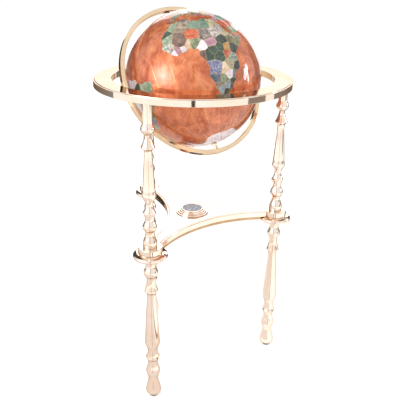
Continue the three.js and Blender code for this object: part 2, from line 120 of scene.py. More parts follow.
UPPER_LEG_TOP = [
    (0, 11, "edge"), (43, 11, "edge"), (45.5, 11.5, "edge"), (57, 16, "round"), (69, 9, "edge"),
    (70.1, 7.5, "round"), (98.2, 16.3, "edge"), (101, 14, "edge"), (107.9, 9, "round"), (146, 11.2, "edge"),
]
UPPER_LEG_BOTTOM = [
    (0, 16.6, "edge"), (9, 16.9, "round"), (34.9, 10.7, "round"), (50.8, 17, "round"), (69.7, 10.6, "round"),
    (87.3, 15.9, "edge"), (91, 13.2, "edge"), (108.2, 8.7, "round"), (128, 16.2, "round"), (141, 14.7, "edge"),
]
LOWER_LEG_TOP = [
    (0, 13, "edge"), (21, 11.5, "round"), (41.6, 17.7, "round"), (60, 10.6, "round"), (92.1, 17, "edge"),
    (95, 15, "edge"), (103.2, 11.4, "round"), (164, 14.7, "edge"),
]
LOWER_LEG_BOTTOM = [
    (0, 10, "edge"), (14, 19.3, "round"), (52.4, 12.7, "round"), (75.6, 18.1, "round"), (100.2, 12.4, "round"),
    (118.6, 18.3, "edge"), (122, 16, "edge"), (138.5, 12.5, "round"), (165, 18.8, "round"),
]

# ---- Shaping helpers ----


def turned(profile, sides, loop=False):
    """A turning about Z from (radius, height) points, closed on the axis or on itself."""
    bm = bmesh.new()
    verts = [bm.verts.new((radius, 0, height)) for radius, height in profile]
    edges = [bm.edges.new(pair) for pair in zip(verts, verts[1:])]
    if loop:
        edges.append(bm.edges.new((verts[-1], verts[0])))
    bmesh.ops.spin(bm, geom=verts + edges, cent=(0, 0, 0), axis=(0, 0, 1), angle=math.tau,
                   steps=sides, use_merge=True, use_duplicate=False)
    bmesh.ops.remove_doubles(bm, verts=bm.verts, dist=1e-6)
    bmesh.ops.recalc_face_normals(bm, faces=bm.faces)
    return bm


def soften(bm, width, segments=2, angle=30):
    """Rounds over the sharp edges."""
    limit = math.radians(angle)
    sharp = [e for e in bm.edges if len(e.link_faces) == 2 and e.calc_face_angle() > limit]
    bmesh.ops.bevel(bm, geom=sharp, offset=width, offset_type="OFFSET", segments=segments, profile=0.5,
                    affect="EDGES", clamp_overlap=True, material=-1)
    return bm


def moved(bm, *matrices):
    """Applies the matrices in the order given."""
    for matrix in matrices:
        bmesh.ops.transform(bm, matrix=matrix, verts=bm.verts)
    return bm


def shift(x, y, z):
    return Matrix.Translation((x, y, z))


def reads_smooth(edge, limit):
    """A shallow edge between faces of like size; a broad flat face keeps its own shading up to its edge."""
    if len(edge.link_faces) != 2:
        return False
    angle = edge.calc_face_angle(0)
    first, second = (face.calc_area() for face in edge.link_faces)
    alike = min(first, second) > 0.12 * max(first, second)
    return angle < limit and (alike or angle < math.radians(5))


def piece(name, bm, finishes, body, nodes=(), smooth_angle=35):
    """Makes the finished piece, on its body, in place of its CAD nodes."""
    for face in bm.faces:
        face.smooth = True
    for edge in bm.edges:
        edge.smooth = reads_smooth(edge, math.radians(smooth_angle))
    mesh = bpy.data.meshes.new(name)
    bm.to_mesh(mesh)
    bm.free()
    for material in finishes if isinstance(finishes, (list, tuple)) else [finishes]:
        mesh.materials.append(material)
    obj = bpy.data.objects.new(name, mesh)
    bpy.context.scene.collection.objects.link(obj)
    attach(obj, body)
    if nodes:
        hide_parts(*nodes)
    return obj


def arc(centre, radius, start, end, steps):
    """Points along an arc in a flat outline, angles in radians."""
    turn = (end - start) / steps
    return [(centre[0] + radius * math.cos(start + turn * i), centre[1] + radius * math.sin(start + turn * i))
            for i in range(steps + 1)]


def slab(outline, bottom, top):
    """An outline raised to a flat plate."""
    bm = bmesh.new()
    face = bm.faces.new([bm.verts.new((x, y, bottom)) for x, y in outline])
    raised = bmesh.ops.extrude_face_region(bm, geom=[face])
    verts = [v for v in raised["geom"] if isinstance(v, bmesh.types.BMVert)]
    bmesh.ops.translate(bm, vec=(0, 0, top - bottom), verts=verts)
    bmesh.ops.recalc_face_normals(bm, faces=bm.faces)
    return bm


# ---- Finish helpers ----


def tone(red, green, blue):
    """A colour from 0-255 screen values."""
    return tuple(((v / 255 + 0.055) / 1.055) ** 2.4 if v > 10 else v / 255 / 12.92
                 for v in (red, green, blue)) + (1,)


def finish(name, **constants):
    """A material with one Principled shader, with its constant sockets set."""
    material = bpy.data.materials.new(name)
    material.use_nodes = True
    tree = material.node_tree
    shader = tree.nodes["Principled BSDF"]
    for socket, value in constants.items():
        shader.inputs[socket.replace("_", " ")].default_value = value
    return material, tree, shader


def grain(tree, scale, detail=4, roughness=0.55, distortion=0, stretch=(1, 1, 1)):
    """Noise on the piece's own coordinates."""
    place = tree.nodes.new("ShaderNodeTexCoord")
    mapping = tree.nodes.new("ShaderNodeMapping")
    mapping.inputs["Scale"].default_value = stretch
    tree.links.new(place.outputs["Object"], mapping.inputs["Vector"])
    texture = tree.nodes.new("ShaderNodeTexNoise")
    texture.inputs["Scale"].default_value = scale
    texture.inputs["Detail"].default_value = detail
    texture.inputs["Roughness"].default_value = roughness
    texture.inputs["Distortion"].default_value = distortion
    tree.links.new(mapping.outputs["Vector"], texture.inputs["Vector"])
    return texture.outputs["Fac"]


def ramp(tree, value, stops):
    """Colours along a value."""
    node = tree.nodes.new("ShaderNodeValToRGB")
    while len(node.color_ramp.elements) < len(stops):
        node.color_ramp.elements.new(1)
    for element, (position, colour) in zip(node.color_ramp.elements, stops):
        element.position = position
        element.color = colour
    tree.links.new(value, node.inputs["Fac"])
    return node.outputs["Color"]


def span(tree, value, from_low, from_high, to_low, to_high):
    node = tree.nodes.new("ShaderNodeMapRange")
    for socket, number in zip(("From Min", "From Max", "To Min", "To Max"), (from_low, from_high, to_low, to_high)):
        node.inputs[socket].default_value = number
    tree.links.new(value, node.inputs["Value"])
    return node.outputs["Result"]


def mixed(tree, factor, first, second, mode="MIX"):
    """Two colours mixed; the factor is an output or a number."""
    node = tree.nodes.new("ShaderNodeMix")
    node.data_type = "RGBA"
    node.blend_type = mode
    for socket, value in ((node.inputs["Factor"], factor), (node.inputs["A"], first), (node.inputs["B"], second)):
        if isinstance(value, bpy.types.NodeSocket):
            tree.links.new(value, socket)
        else:
            socket.default_value = value
    return node.outputs["Result"]


def relief(tree, shader, height, strength, distance):
    node = tree.nodes.new("ShaderNodeBump")
    node.inputs["Strength"].default_value = strength
    node.inputs["Distance"].default_value = distance
    tree.links.new(height, node.inputs["Height"])
    tree.links.new(node.outputs["Normal"], shader.inputs["Normal"])


# ---- Metals and plain finishes ----


def plated(name, pale, warm, smooth, dull):
    """Polished plate: a faint drift of tint, wiping marks in the gloss and very slight waves."""
    material, tree, shader = finish(name, Metallic=1.0)
    shader.inputs["Specular Tint"].default_value = tone(200, 188, 174)
    tint = ramp(tree, grain(tree, 14, 3), [(0.35, warm), (0.65, pale)])
    tree.links.new(tint, shader.inputs["Base Color"])
    wiping = grain(tree, 60, 5, stretch=(1, 1, 0.35))
    tree.links.new(span(tree, wiping, 0.3, 0.7, smooth, dull), shader.inputs["Roughness"])
    relief(tree, shader, grain(tree, 45, 2), 0.05, 0.0006)
    return material


def plain_metal(name, pale, deep, smooth, dull):
    """Turned or drawn metal with fine tool marks."""
    material, tree, shader = finish(name, Metallic=1.0)
    marks = grain(tree, 220, 3, stretch=(1, 1, 6))
    tree.links.new(ramp(tree, marks, [(0.3, deep), (0.7, pale)]), shader.inputs["Base Color"])
    tree.links.new(span(tree, marks, 0.3, 0.7, smooth, dull), shader.inputs["Roughness"])
    relief(tree, shader, marks, 0.1, 0.0002)
    return material


def plain_solid(name, pale, deep, scale, rough, strength=0.2):
    """Cast resin, felt or paint: a mottled colour and a fine surface."""
    material, tree, shader = finish(name)
    cloud = grain(tree, scale, 5)
    tree.links.new(ramp(tree, cloud, [(0.3, deep), (0.7, pale)]), shader.inputs["Base Color"])
    tree.links.new(span(tree, cloud, 0.3, 0.7, rough - 0.06, rough + 0.06), shader.inputs["Roughness"])
    relief(tree, shader, grain(tree, scale * 6, 2), strength, 0.0002)
    return material


def clear_glass():
    material, tree, shader = finish("clear_glass", Transmission_Weight=1.0, IOR=1.45)
    shader.inputs["Base Color"].default_value = tone(240, 248, 250)
    smears = grain(tree, 90, 4)
    tree.links.new(span(tree, smears, 0.4, 0.8, 0.0, 0.03), shader.inputs["Roughness"])
    return material


# ---- Stones, all under the same clear coat ----


def coated(name):
    material, tree, shader = finish(name, Coat_Weight=1.0, Coat_Roughness=0.02, Coat_IOR=1.5, Roughness=0.42)
    shader.inputs["Specular IOR Level"].default_value = 0.35
    return material, tree, shader


def island_tint(tree, colour, amount):
    """Each stone is a little lighter or darker than its neighbours of the same kind."""
    geometry = tree.nodes.new("ShaderNodeNewGeometry")
    dim, bright = 0.82 - amount, 0.82 + amount
    shade = ramp(tree, geometry.outputs["Random Per Island"],
                 [(0, (dim, dim, dim, 1)), (1, (bright, bright, bright, 1))])
    return mixed(tree, 1.0, colour, shade, "MULTIPLY")


def speckled(tree, colour, amount=0.55):
    """Fine dark specks through the stone."""
    specks = ramp(tree, grain(tree, 330, 3, 0.6), [(0.52, (0, 0, 0, 1)), (0.64, (1, 1, 1, 1))])
    shade = mixed(tree, 1.0, colour, (0.34, 0.33, 0.33, 1), "MULTIPLY")
    return mixed(tree, span(tree, specks, 0, 1, 0, amount), colour, shade)


def ocean_stone():
    """Crushed copper-brown stone in resin: clouds, streaks running towards the poles and bright flecks."""
    material, tree, shader = coated("ocean_stone")
    shader.inputs["Metallic"].default_value = 0.4
    clouds = ramp(tree, grain(tree, 26, 7, 0.62, 0.9), [
        (0.30, tone(132, 50, 22)), (0.44, tone(176, 80, 38)),
        (0.56, tone(206, 112, 64)), (0.72, tone(234, 156, 108))])
    streaks = ramp(tree, grain(tree, 60, 5, 0.6, 0.4, (1, 1, 0.28)), [
        (0.38, tone(162, 72, 36)), (0.62, tone(232, 148, 100))])
    colour = mixed(tree, 0.3, clouds, streaks)
    specks = ramp(tree, grain(tree, 170, 4, 0.6), [(0.56, (0, 0, 0, 1)), (0.68, (1, 1, 1, 1))])
    colour = mixed(tree, span(tree, specks, 0, 1, 0, 0.4), colour, tone(122, 44, 20))
    flecks = ramp(tree, grain(tree, 230, 3, 0.5), [(0.62, (0, 0, 0, 1)), (0.72, (1, 1, 1, 1))])
    colour = mixed(tree, span(tree, flecks, 0, 1, 0, 0.35), colour, tone(250, 178, 132))
    tree.links.new(colour, shader.inputs["Base Color"])
    return material


def clouded(name, deep, mid, pale, scale=90):
    """Jasper-like: soft clouds of three colours."""
    material, tree, shader = coated(name)
    colour = ramp(tree, grain(tree, scale, 6, 0.6, 0.6), [(0.34, deep), (0.5, mid), (0.68, pale)])
    tree.links.new(island_tint(tree, speckled(tree, colour), 0.12), shader.inputs["Base Color"])
    return material


def flecked(name, deep, mid, pale, scale=260):
    """Granular: small crystals of three colours."""
    material, tree, shader = coated(name)
    place = tree.nodes.new("ShaderNodeTexCoord")
    crystals = tree.nodes.new("ShaderNodeTexVoronoi")
    crystals.inputs["Scale"].default_value = scale
    tree.links.new(place.outputs["Object"], crystals.inputs["Vector"])
    grey = tree.nodes.new("ShaderNodeRGBToBW")
    tree.links.new(crystals.outputs["Color"], grey.inputs["Color"])
    grains = ramp(tree, grey.outputs["Val"], [(0.3, deep), (0.5, mid), (0.72, pale)])
    colour = mixed(tree, 0.35, grains, ramp(tree, grain(tree, 70, 5), [(0.35, deep), (0.65, pale)]))
    tree.links.new(island_tint(tree, speckled(tree, colour), 0.12), shader.inputs["Base Color"])
    return material


def veined(name, deep, mid, pale, scale=70):
    """Clouded stone crossed by thin veins of the deep colour."""
    material, tree, shader = coated(name)
    body = ramp(tree, grain(tree, scale, 5, 0.55, 0.5), [(0.36, mid), (0.64, pale)])
    veins = ramp(tree, grain(tree, scale * 1.3, 4, 0.6, 2.2), [
        (0.455, (0, 0, 0, 1)), (0.49, (1, 1, 1, 1)), (0.51, (1, 1, 1, 1)), (0.545, (0, 0, 0, 1))])
    colour = mixed(tree, span(tree, veins, 0, 1, 0, 0.75), body, deep)
    tree.links.new(island_tint(tree, speckled(tree, colour), 0.12), shader.inputs["Base Color"])
    return material


STONES = {
    "sage_jasper": veined("sage_jasper", tone(96, 100, 84), tone(128, 150, 122), tone(178, 192, 164)),
    "tan_agate": clouded("tan_agate", tone(104, 86, 76), tone(150, 128, 108), tone(186, 166, 142)),
    "turquoise": veined("turquoise", tone(60, 76, 62), tone(100, 134, 112), tone(138, 164, 140)),
    "sand_jasper": clouded("sand_jasper", tone(140, 128, 98), tone(180, 170, 136), tone(206, 198, 164)),
    "carnelian": clouded("carnelian", tone(172, 72, 42), tone(204, 100, 62), tone(222, 134, 96)),
    "brown_agate": clouded("brown_agate", tone(84, 62, 58), tone(120, 92, 84), tone(150, 122, 104)),
    "white_howlite": veined("white_howlite", tone(150, 138, 140), tone(222, 208, 212), tone(246, 238, 238)),
    "moss_jade": clouded("moss_jade", tone(92, 102, 76), tone(128, 138, 106), tone(164, 170, 140)),
    "cream_onyx": clouded("cream_onyx", tone(188, 158, 126), tone(218, 192, 158), tone(238, 218, 190)),
    "grey_lace": flecked("grey_lace", tone(92, 80, 76), tone(138, 124, 116), tone(184, 170, 162)),
    "pale_granite": flecked("pale_granite", tone(120, 106, 104), tone(178, 164, 158), tone(214, 204, 194)),
    "rhodonite": clouded("rhodonite", tone(146, 92, 110), tone(190, 142, 156), tone(214, 178, 188)),
    "deep_green": clouded("deep_green", tone(28, 46, 38), tone(48, 74, 58), tone(84, 104, 84)),
    "amber": clouded("amber", tone(154, 98, 48), tone(188, 138, 74), tone(208, 168, 110)),
    "red_jasper": clouded("red_jasper", tone(150, 60, 44), tone(188, 88, 66), tone(206, 124, 98)),
    "olive_serpentine": clouded("olive_serpentine", tone(74, 74, 46), tone(108, 106, 70), tone(142, 138, 98)),
    "black_jade": flecked("black_jade", tone(18, 24, 22), tone(36, 46, 40), tone(66, 80, 70)),
    "moss_granite": flecked("moss_granite", tone(92, 112, 92), tone(146, 164, 142), tone(206, 214, 200)),
    "lapis_lilac": flecked("lapis_lilac", tone(82, 84, 124), tone(120, 124, 160), tone(160, 166, 188)),
    "blue_chalcedony": clouded("blue_chalcedony", tone(112, 128, 136), tone(146, 160, 166), tone(178, 190, 194)),
    "slate_blue": clouded("slate_blue", tone(52, 60, 76), tone(84, 94, 110), tone(124, 132, 142)),
    "snow_quartz": veined("snow_quartz", tone(214, 170, 190), tone(240, 230, 232), tone(252, 248, 248)),
}
STONE_NAMES = list(STONES)

GOLD = plated("polished_gold", tone(250, 235, 222), tone(246, 224, 204), 0.04, 0.1)
# The under layer's darker tan gold is painted shade: it stands for the shaded line beneath the shelf's edge band.
SHADED_UNDER_GOLD = plated("under_layer_gold_painted_shade", tone(206, 176, 140), tone(172, 140, 104), 0.1, 0.2)
RING_GOLD = plated("meridian_gold", tone(242, 218, 186), tone(234, 204, 166), 0.06, 0.13)
WIRE_GOLD = plated("inlay_wire", tone(232, 200, 140), tone(214, 176, 108), 0.16, 0.3)
STEEL = plain_metal("rod_steel", tone(196, 198, 202), tone(150, 152, 156), 0.25, 0.4)
BRONZE = plain_metal("bearing_bronze", tone(190, 152, 98), tone(150, 112, 64), 0.25, 0.4)
RESIN = plain_solid("cast_resin", tone(222, 214, 198), tone(196, 188, 170), 60, 0.55)
FELT = plain_solid("black_felt", tone(54, 54, 52), tone(34, 34, 33), 400, 0.92, 0.6)
DIAL_BLUE = plain_solid("dial_blue", tone(96, 100, 128), tone(80, 84, 112), 180, 0.35, 0.1)
DIAL_INK = plain_solid("dial_ink", tone(92, 98, 128), tone(74, 80, 108), 180, 0.4, 0.1)
DIAL_PALE = plain_solid("dial_pale", tone(226, 222, 212), tone(206, 200, 188), 180, 0.35, 0.1)
NEEDLE_RED = plain_solid("needle_red", tone(176, 48, 38), tone(146, 36, 28), 200, 0.3, 0.1)
NEEDLE_BLUE = plain_metal("needle_blue", tone(70, 84, 130), tone(50, 60, 100), 0.2, 0.32)
GLASS = clear_glass()

# ---- Legs ----

CURVES = {
    ("edge", "edge"): lambda t: t,
    ("edge", "round"): lambda t: math.sin(t * math.pi / 2),
    ("round", "edge"): lambda t: 1 - math.cos(t * math.pi / 2),
    ("round", "round"): lambda t: (1 - math.cos(t * math.pi)) / 2,
}
CURVE_STEPS = 9
LEG_FACETS = 56


def turning(stations):
    """The run of a turning: rounds meet their neighbours smoothly, and edges stay sharp."""
    run = [stations[0][:2]]
    for (at, radius, kind), (next_at, next_radius, next_kind) in zip(stations, stations[1:]):
        curve = CURVES[kind, next_kind]
        steps = 1 if (kind, next_kind) == ("edge", "edge") else CURVE_STEPS
        for i in range(1, steps + 1):
            t = i / steps
            run.append((at + (next_at - at) * t, radius + (next_radius - radius) * curve(t)))
    return run


def leg_piece(node, bottom_stations, top_stations, bottom_hole, top_hole):
    """One leg piece about its own axis, from the floor frame's heights, with a stud hole in each end."""
    foot, head = low(node).z, high(node).z
    profile = [(radius * MM, foot + at * MM) for at, radius in turning(bottom_stations)]
    profile += [(radius * MM, head - at * MM) for at, radius in reversed(turning(top_stations))]
    if bottom_hole:
        profile = [(0, foot + bottom_hole), (STUD_HOLE, foot + bottom_hole), (STUD_HOLE, foot)] + profile
    else:
        profile = [(0, foot)] + profile
    profile += [(STUD_HOLE, head), (STUD_HOLE, head - top_hole), (0, head - top_hole)]
    return soften(turned(profile, LEG_FACETS), 0.5 * MM)


def legs():
    upper = leg_piece("upper_leg_back", UPPER_LEG_BOTTOM, UPPER_LEG_TOP, TIE_IN_LEG, STUD_IN_LEG)
    lower = leg_piece("lower_leg_back", LOWER_LEG_BOTTOM, LOWER_LEG_TOP, 0, TIE_IN_LEG)
    for leg in LEGS:
        place = shift(LEG_PLACE[leg].x, LEG_PLACE[leg].y, 0)
        for kind, shape in (("upper_leg_", upper), ("lower_leg_", lower)):
            piece("turned_" + kind + leg, moved(shape.copy(), place), GOLD, "stand", [kind + leg])
    upper.free()
    lower.free()


def flange_profile():
    """A saucer turned over: flat below, a rounded rim and a long slope up to the boss."""
    rim, rise = FLANGE_RADIUS - 4 * MM, 5 * MM
    points = [(STUD_HOLE, FLANGE_LOW), (rim, FLANGE_LOW)]
    for i in range(1, 15):
        angle = -math.pi / 2 + math.pi * i / 16
        points.append((rim + 4 * MM * math.cos(angle), FLANGE_LOW + rise + rise * math.sin(angle)))
    top = high("flange_back").z
    points += [(BOSS_RADIUS + 3 * MM, top), (STUD_HOLE, top)]
    return points


def bosses():
    flange = soften(turned(flange_profile(), 96, loop=True), 0.5 * MM, angle=25)
    boss = soften(turned([
        (STUD_HOLE, BOSS_LOW), (BOSS_RADIUS, BOSS_LOW), (BOSS_RADIUS, SHELF_TOP), (STUD_HOLE, SHELF_TOP),
    ], 96, loop=True), 1.1 * MM, 4)
    pad = soften(turned([(0, 0), (9.6 * MM, 0), (9.6 * MM, 2 * MM), (0, 2 * MM)], 40), 0.4 * MM)
    for leg in LEGS:
        place = shift(LEG_PLACE[leg].x, LEG_PLACE[leg].y, 0)
        piece("saucer_" + leg, moved(flange.copy(), place), GOLD, "stand", ["flange_" + leg])
        piece("drum_" + leg, moved(boss.copy(), place), GOLD, "stand", ["boss_" + leg])
        piece("pad_" + leg, moved(pad.copy(), place), FELT, "stand", ["foot_pad_" + leg])
    for shape in (flange, boss, pad):
        shape.free()


# ---- Shelf ----

SIDE_ARC = ((LEG_CIRCLE ** 2 + SHELF_WAIST ** 2 - SHELF_WAIST * LEG_CIRCLE - SHELF_LEG_OFFSET ** 2)
            / (LEG_CIRCLE + 2 * SHELF_LEG_OFFSET - 2 * SHELF_WAIST))


def side_facing(index):
    return math.pi / 2 + (index + 0.5) * math.tau / 3


def side_centre(index):
    """The centre of the arc that a hollow side follows."""
    reach = SHELF_WAIST + SIDE_ARC
    return Vector((reach * math.cos(side_facing(index)), STAND_Y + reach * math.sin(side_facing(index))))


def side_sweep(index, radius, clear):
    """Start and end angle of a hollow side at that radius, where it meets circles round its two legs."""
    centre = side_centre(index)
    angles = []
    for leg, sense in ((LEGS[index], -1), (LEGS[(index + 1) % 3], 1)):
        to_leg = LEG_PLACE[leg].to_2d() - centre
        distance = to_leg.length
        inset = math.acos((distance ** 2 + radius ** 2 - clear ** 2) / (2 * distance * radius))
        angles.append(math.atan2(to_leg.y, to_leg.x) + sense * inset)
    start, end = angles
    while end - start > math.pi:
        end -= math.tau
    while start - end > math.pi:
        end += math.tau
    return start, end


def hollow_outline(offset, clear):
    """The shelf's outline: three hollow sides joined by hollows round the legs."""
    outline = []
    for index in range(3):
        start, end = side_sweep(index, SIDE_ARC + offset, clear)
        outline += arc(side_centre(index), SIDE_ARC + offset, start, end, 40)
        leg = LEG_PLACE[LEGS[(index + 1) % 3]].to_2d()
        next_start, _ = side_sweep((index + 1) % 3, SIDE_ARC + offset, clear)
        beyond = side_centre((index + 1) % 3) + (SIDE_ARC + offset) * Vector(
            (math.cos(next_start), math.sin(next_start)))
        from_leg, to_leg = Vector(outline[-1]) - leg, beyond - leg
        first = math.atan2(from_leg.y, from_leg.x)
        turn = (math.atan2(to_leg.y, to_leg.x) - first) % math.tau
        if turn > math.pi:
            turn -= math.tau
        outline += arc(leg, clear, first, first + turn, 20)[1:-1]
    return outline


def band(index):
    """The edge band of a side: a bar with a rounded face, swept round the hollow, with rounded ends."""
    radius = SIDE_ARC + BAND / 2
    start, end = side_sweep(index, radius, BOSS_RADIUS + GAP)
    centre = side_centre(index)
    bm = bmesh.new()
    tall = SHELF_TOP - BOSS_LOW
    section = [(-BAND / 2, 0), (BAND / 2, 0), (BAND / 2, tall), (-BAND / 2, tall)]
    face = bm.faces.new([bm.verts.new((radius + across, 0, BOSS_LOW + up)) for across, up in section])
    geom = [face] + list(face.edges) + list(face.verts)
    bmesh.ops.spin(bm, geom=geom, cent=(0, 0, 0), axis=(0, 0, 1), angle=end - start, steps=48,
                   use_merge=False, use_duplicate=False)
    bmesh.ops.recalc_face_normals(bm, faces=bm.faces)
    soften(bm, 2.0 * MM, 5)
    return moved(bm, Matrix.Rotation(start, 4, "Z"), shift(centre.x, centre.y, 0))


def shelf():
    clear = BOSS_RADIUS + GAP
    plate = soften(slab(hollow_outline(BAND + GAP, clear), BOSS_LOW + PLATE_CLEARANCE, SHELF_TOP), 0.35 * MM)
    piece("shelf_top", plate, GOLD, "stand", ["shelf_plate"])
    top = BOSS_LOW - 2 * GAP
    # The under layer takes the darker gold, painted shade beneath the edge band.
    under = soften(slab(hollow_outline(SUBPLATE_INSET, FLANGE_RADIUS + GAP), top - SUBPLATE, top), 0.8 * MM, 3)
    piece("shelf_under_layer", under, SHADED_UNDER_GOLD, "stand", ["shelf_subplate"])
    for index, side in enumerate(SIDES):
        piece("edge_band_" + side, band(index), GOLD, "stand", ["shelf_band_" + side])


# ---- Compass ----


def compass_star(radius, waist, points, turn, height, thickness):
    """A flat star of the dial's rose."""
    outline = []
    for i in range(points * 2):
        angle = turn + math.pi * i / points
        reach = radius if i % 2 == 0 else waist
        outline.append((reach * math.cos(angle), reach * math.sin(angle)))
    return moved(slab(outline, height, height + thickness), shift(0, STAND_Y, 0))


def dial_ticks(height):
    """Degree marks round the dial, long ones at the eight winds."""
    bm = bmesh.new()
    for i in range(72):
        long = i % 9 == 0
        size = Vector(((2.4 if long else 1.3) * MM, 0.32 * MM if long else 0.2 * MM, 0.08 * MM))
        made = bmesh.ops.create_cube(bm, size=1)
        place = (Matrix.Rotation(math.tau * i / 72, 4, "Z") @ shift(DIAL_RADIUS - 1.2 * MM - size.x / 2, 0, 0)
                 @ Matrix.Diagonal(size.to_4d()))
        bmesh.ops.transform(bm, matrix=place, verts=made["verts"])
    return moved(bm, shift(0, STAND_Y, height + 0.05 * MM))


def compass():
    base = low("compass_bezel").z
    top = high("compass_bezel").z
    dial_low, dial_top = low("compass_dial").z, high("compass_dial").z
    cup = DIAL_RADIUS + GAP
    centre = shift(0, STAND_Y, 0)
    bezel = [(0, base)]
    for step in range(COMPASS_STEPS):
        radius = COMPASS_RADIUS - step * STEP_WIDTH
        bezel += [(radius, base + step * STEP_HEIGHT), (radius, base + (step + 1) * STEP_HEIGHT)]
    bezel += [(cup, top), (cup, dial_low - GAP), (0, dial_low - GAP)]
    bezel_shape = moved(soften(turned(bezel, 96), 0.7 * MM, 3), centre)
    piece("stepped_bezel", bezel_shape, GOLD, "stand", ["compass_bezel"])
    dial = turned([(0, dial_low), (DIAL_RADIUS, dial_low), (DIAL_RADIUS, dial_top), (0, dial_top)], 80)
    piece("dial_plate", moved(soften(dial, 0.15 * MM), centre), DIAL_BLUE, "stand", ["compass_dial"])
    rose = dial_top + 0.02 * MM
    thin = 0.06 * MM
    half_winds = compass_star(0.6 * DIAL_RADIUS, 3.4 * MM, 4, math.pi / 4, rose, thin)
    piece("rose_half_winds", half_winds, DIAL_INK, "stand")
    main_winds = compass_star(0.78 * DIAL_RADIUS, 3.8 * MM, 4, 0, rose + 2 * thin, thin)
    piece("rose_main_winds", main_winds, DIAL_PALE, "stand")
    inside, outside = 0.82 * DIAL_RADIUS, 0.845 * DIAL_RADIUS
    ring = turned([(inside, rose), (outside, rose), (outside, rose + thin), (inside, rose + thin)], 80, loop=True)
    piece("rose_ring", moved(ring, centre), DIAL_INK, "stand")
    piece("dial_marks", dial_ticks(rose), DIAL_PALE, "stand")

    foot, tip = low("compass_pivot").z, high("compass_pivot").z
    pivot = turned([(0, foot), (2 * MM, foot), (2 * MM, foot + 0.9 * MM), (0.9 * MM, foot + 1.0 * MM),
                    (0.9 * MM, tip - 0.3 * MM), (0.5 * MM, tip), (0, tip)], 24)
    piece("needle_post", moved(pivot, centre), BRONZE, "stand", ["compass_pivot"])
    needle()
    glass_low, glass_top = low("compass_glass").z, high("compass_glass").z
    pane = soften(turned([(0, glass_low), (DIAL_RADIUS, glass_low), (DIAL_RADIUS, glass_top - 0.4 * MM),
                          (0, glass_top)], 80), 0.2 * MM, angle=40)
    piece("glass_pane", moved(pane, centre), GLASS, "stand", ["compass_glass"])


def needle():
    """A lozenge needle with a ridge down its middle, red to the north, blued to the south, round its eye."""
    bottom, top = low("compass_needle").z, high("compass_needle").z
    tip, side, eye = high("compass_needle").y - STAND_Y, high("compass_needle").x, 1.3 * MM
    bm = bmesh.new()
    ring = [(eye * math.sin(math.tau * i / 24), eye * math.cos(math.tau * i / 24)) for i in range(24)]
    inner = [bm.verts.new((x, y, bottom)) for x, y in ring]
    outer = []
    for i in range(24):
        angle = math.tau * i / 24
        across, along = abs(math.sin(angle)), abs(math.cos(angle))
        reach = side * tip / (tip * across + side * along)
        outer.append(bm.verts.new((reach * math.sin(angle), reach * math.cos(angle), bottom)))
    for i in range(24):
        j = (i + 1) % 24
        face = bm.faces.new((inner[i], inner[j], outer[j], outer[i]))
        face.material_index = 0 if outer[i].co.y + outer[j].co.y > 0 else 1
    raised = bmesh.ops.extrude_face_region(bm, geom=bm.faces[:])
    verts = [v for v in raised["geom"] if isinstance(v, bmesh.types.BMVert)]
    for v in verts:
        v.co.z = top if abs(v.co.x) < 1.5 * MM and math.hypot(v.co.x, v.co.y) < 6 * MM else top - 0.4 * MM
    bmesh.ops.recalc_face_normals(bm, faces=bm.faces)
    moved(bm, shift(0, STAND_Y, 0))
    piece("needle_blade", bm, [NEEDLE_RED, NEEDLE_BLUE], "needle", ["compass_needle"])


# ---- Horizon ring ----


def horizon_ring():
    step = RING_OUTER - RING_STEP_WIDTH
    bar = turned([
        (RING_INNER, RING_LOW), (RING_OUTER, RING_LOW), (RING_OUTER, RING_TOP - RING_STEP_DEPTH),
        (step, RING_TOP - RING_STEP_DEPTH), (step, RING_TOP), (RING_INNER, RING_TOP),
    ], 160, loop=True)
    soften(bar, 0.8 * MM, 3)
    piece("horizon_bar", moved(bar, shift(0, STAND_Y, 0)), GOLD, "stand", ["horizon_ring"])


# ---- Meridian ring, pins and screws ----

TO_POLE = Vector((0, 0, 1)).rotation_difference(POLE).to_matrix().to_4x4()
ONTO_BALL = Matrix.Translation(BALL_MIDDLE) @ TO_POLE
SOUTHWARD = Matrix.Rotation(math.pi, 4, "X")
EASTWARD = Matrix.Rotation(math.pi / 2, 4, "Y")
WESTWARD = Matrix.Rotation(-math.pi / 2, 4, "Y")


def meridian_ring():
    half = MERIDIAN_WIDTH / 2
    bar = turned([(MERIDIAN_INNER, -half), (MERIDIAN_OUTER, -half), (MERIDIAN_OUTER, half), (MERIDIAN_INNER, half)],
                 160, loop=True)
    soften(bar, 0.9 * MM, 3)
    moved(bar, Matrix.Rotation(math.pi / 2, 4, "X"), ONTO_BALL)
    piece("meridian_bar", bar, RING_GOLD, "meridian", ["meridian_ring"])


def pole_fittings():
    """A domed screw head on the outside of the ring and a spacer between the ring and the ball."""
    end = BALL_RADIUS - 9 * MM
    seat = MERIDIAN_OUTER - 0.5 * MM
    for pole, turn in (("north", Matrix.Identity(4)), ("south", SOUTHWARD)):
        screw = turned([(0, end), (2.8 * MM, end), (2.8 * MM, seat), (5 * MM, seat), (5 * MM, seat + 0.9 * MM),
                        (3.6 * MM, seat + 1.6 * MM), (0, seat + 1.9 * MM)], 32)
        soften(screw, 0.25 * MM)
        piece("pole_screw_cap_" + pole, moved(screw, turn, ONTO_BALL), RING_GOLD, "meridian",
              ["pole_screw_" + pole])
        near, far = BALL_RADIUS + 2 * GAP, MERIDIAN_INNER - GAP
        waist = (near + far) / 2
        spacer = turned([(3.1 * MM, near), (5.2 * MM, near), (5.2 * MM, near + 3 * MM), (4.2 * MM, waist),
                         (5.2 * MM, far - 3 * MM), (5.2 * MM, far), (3.1 * MM, far)], 40, loop=True)
        soften(spacer, 0.3 * MM)
        piece("pole_collar_" + pole, moved(spacer, turn, ONTO_BALL), RING_GOLD, "meridian",
              ["pole_spacer_" + pole])


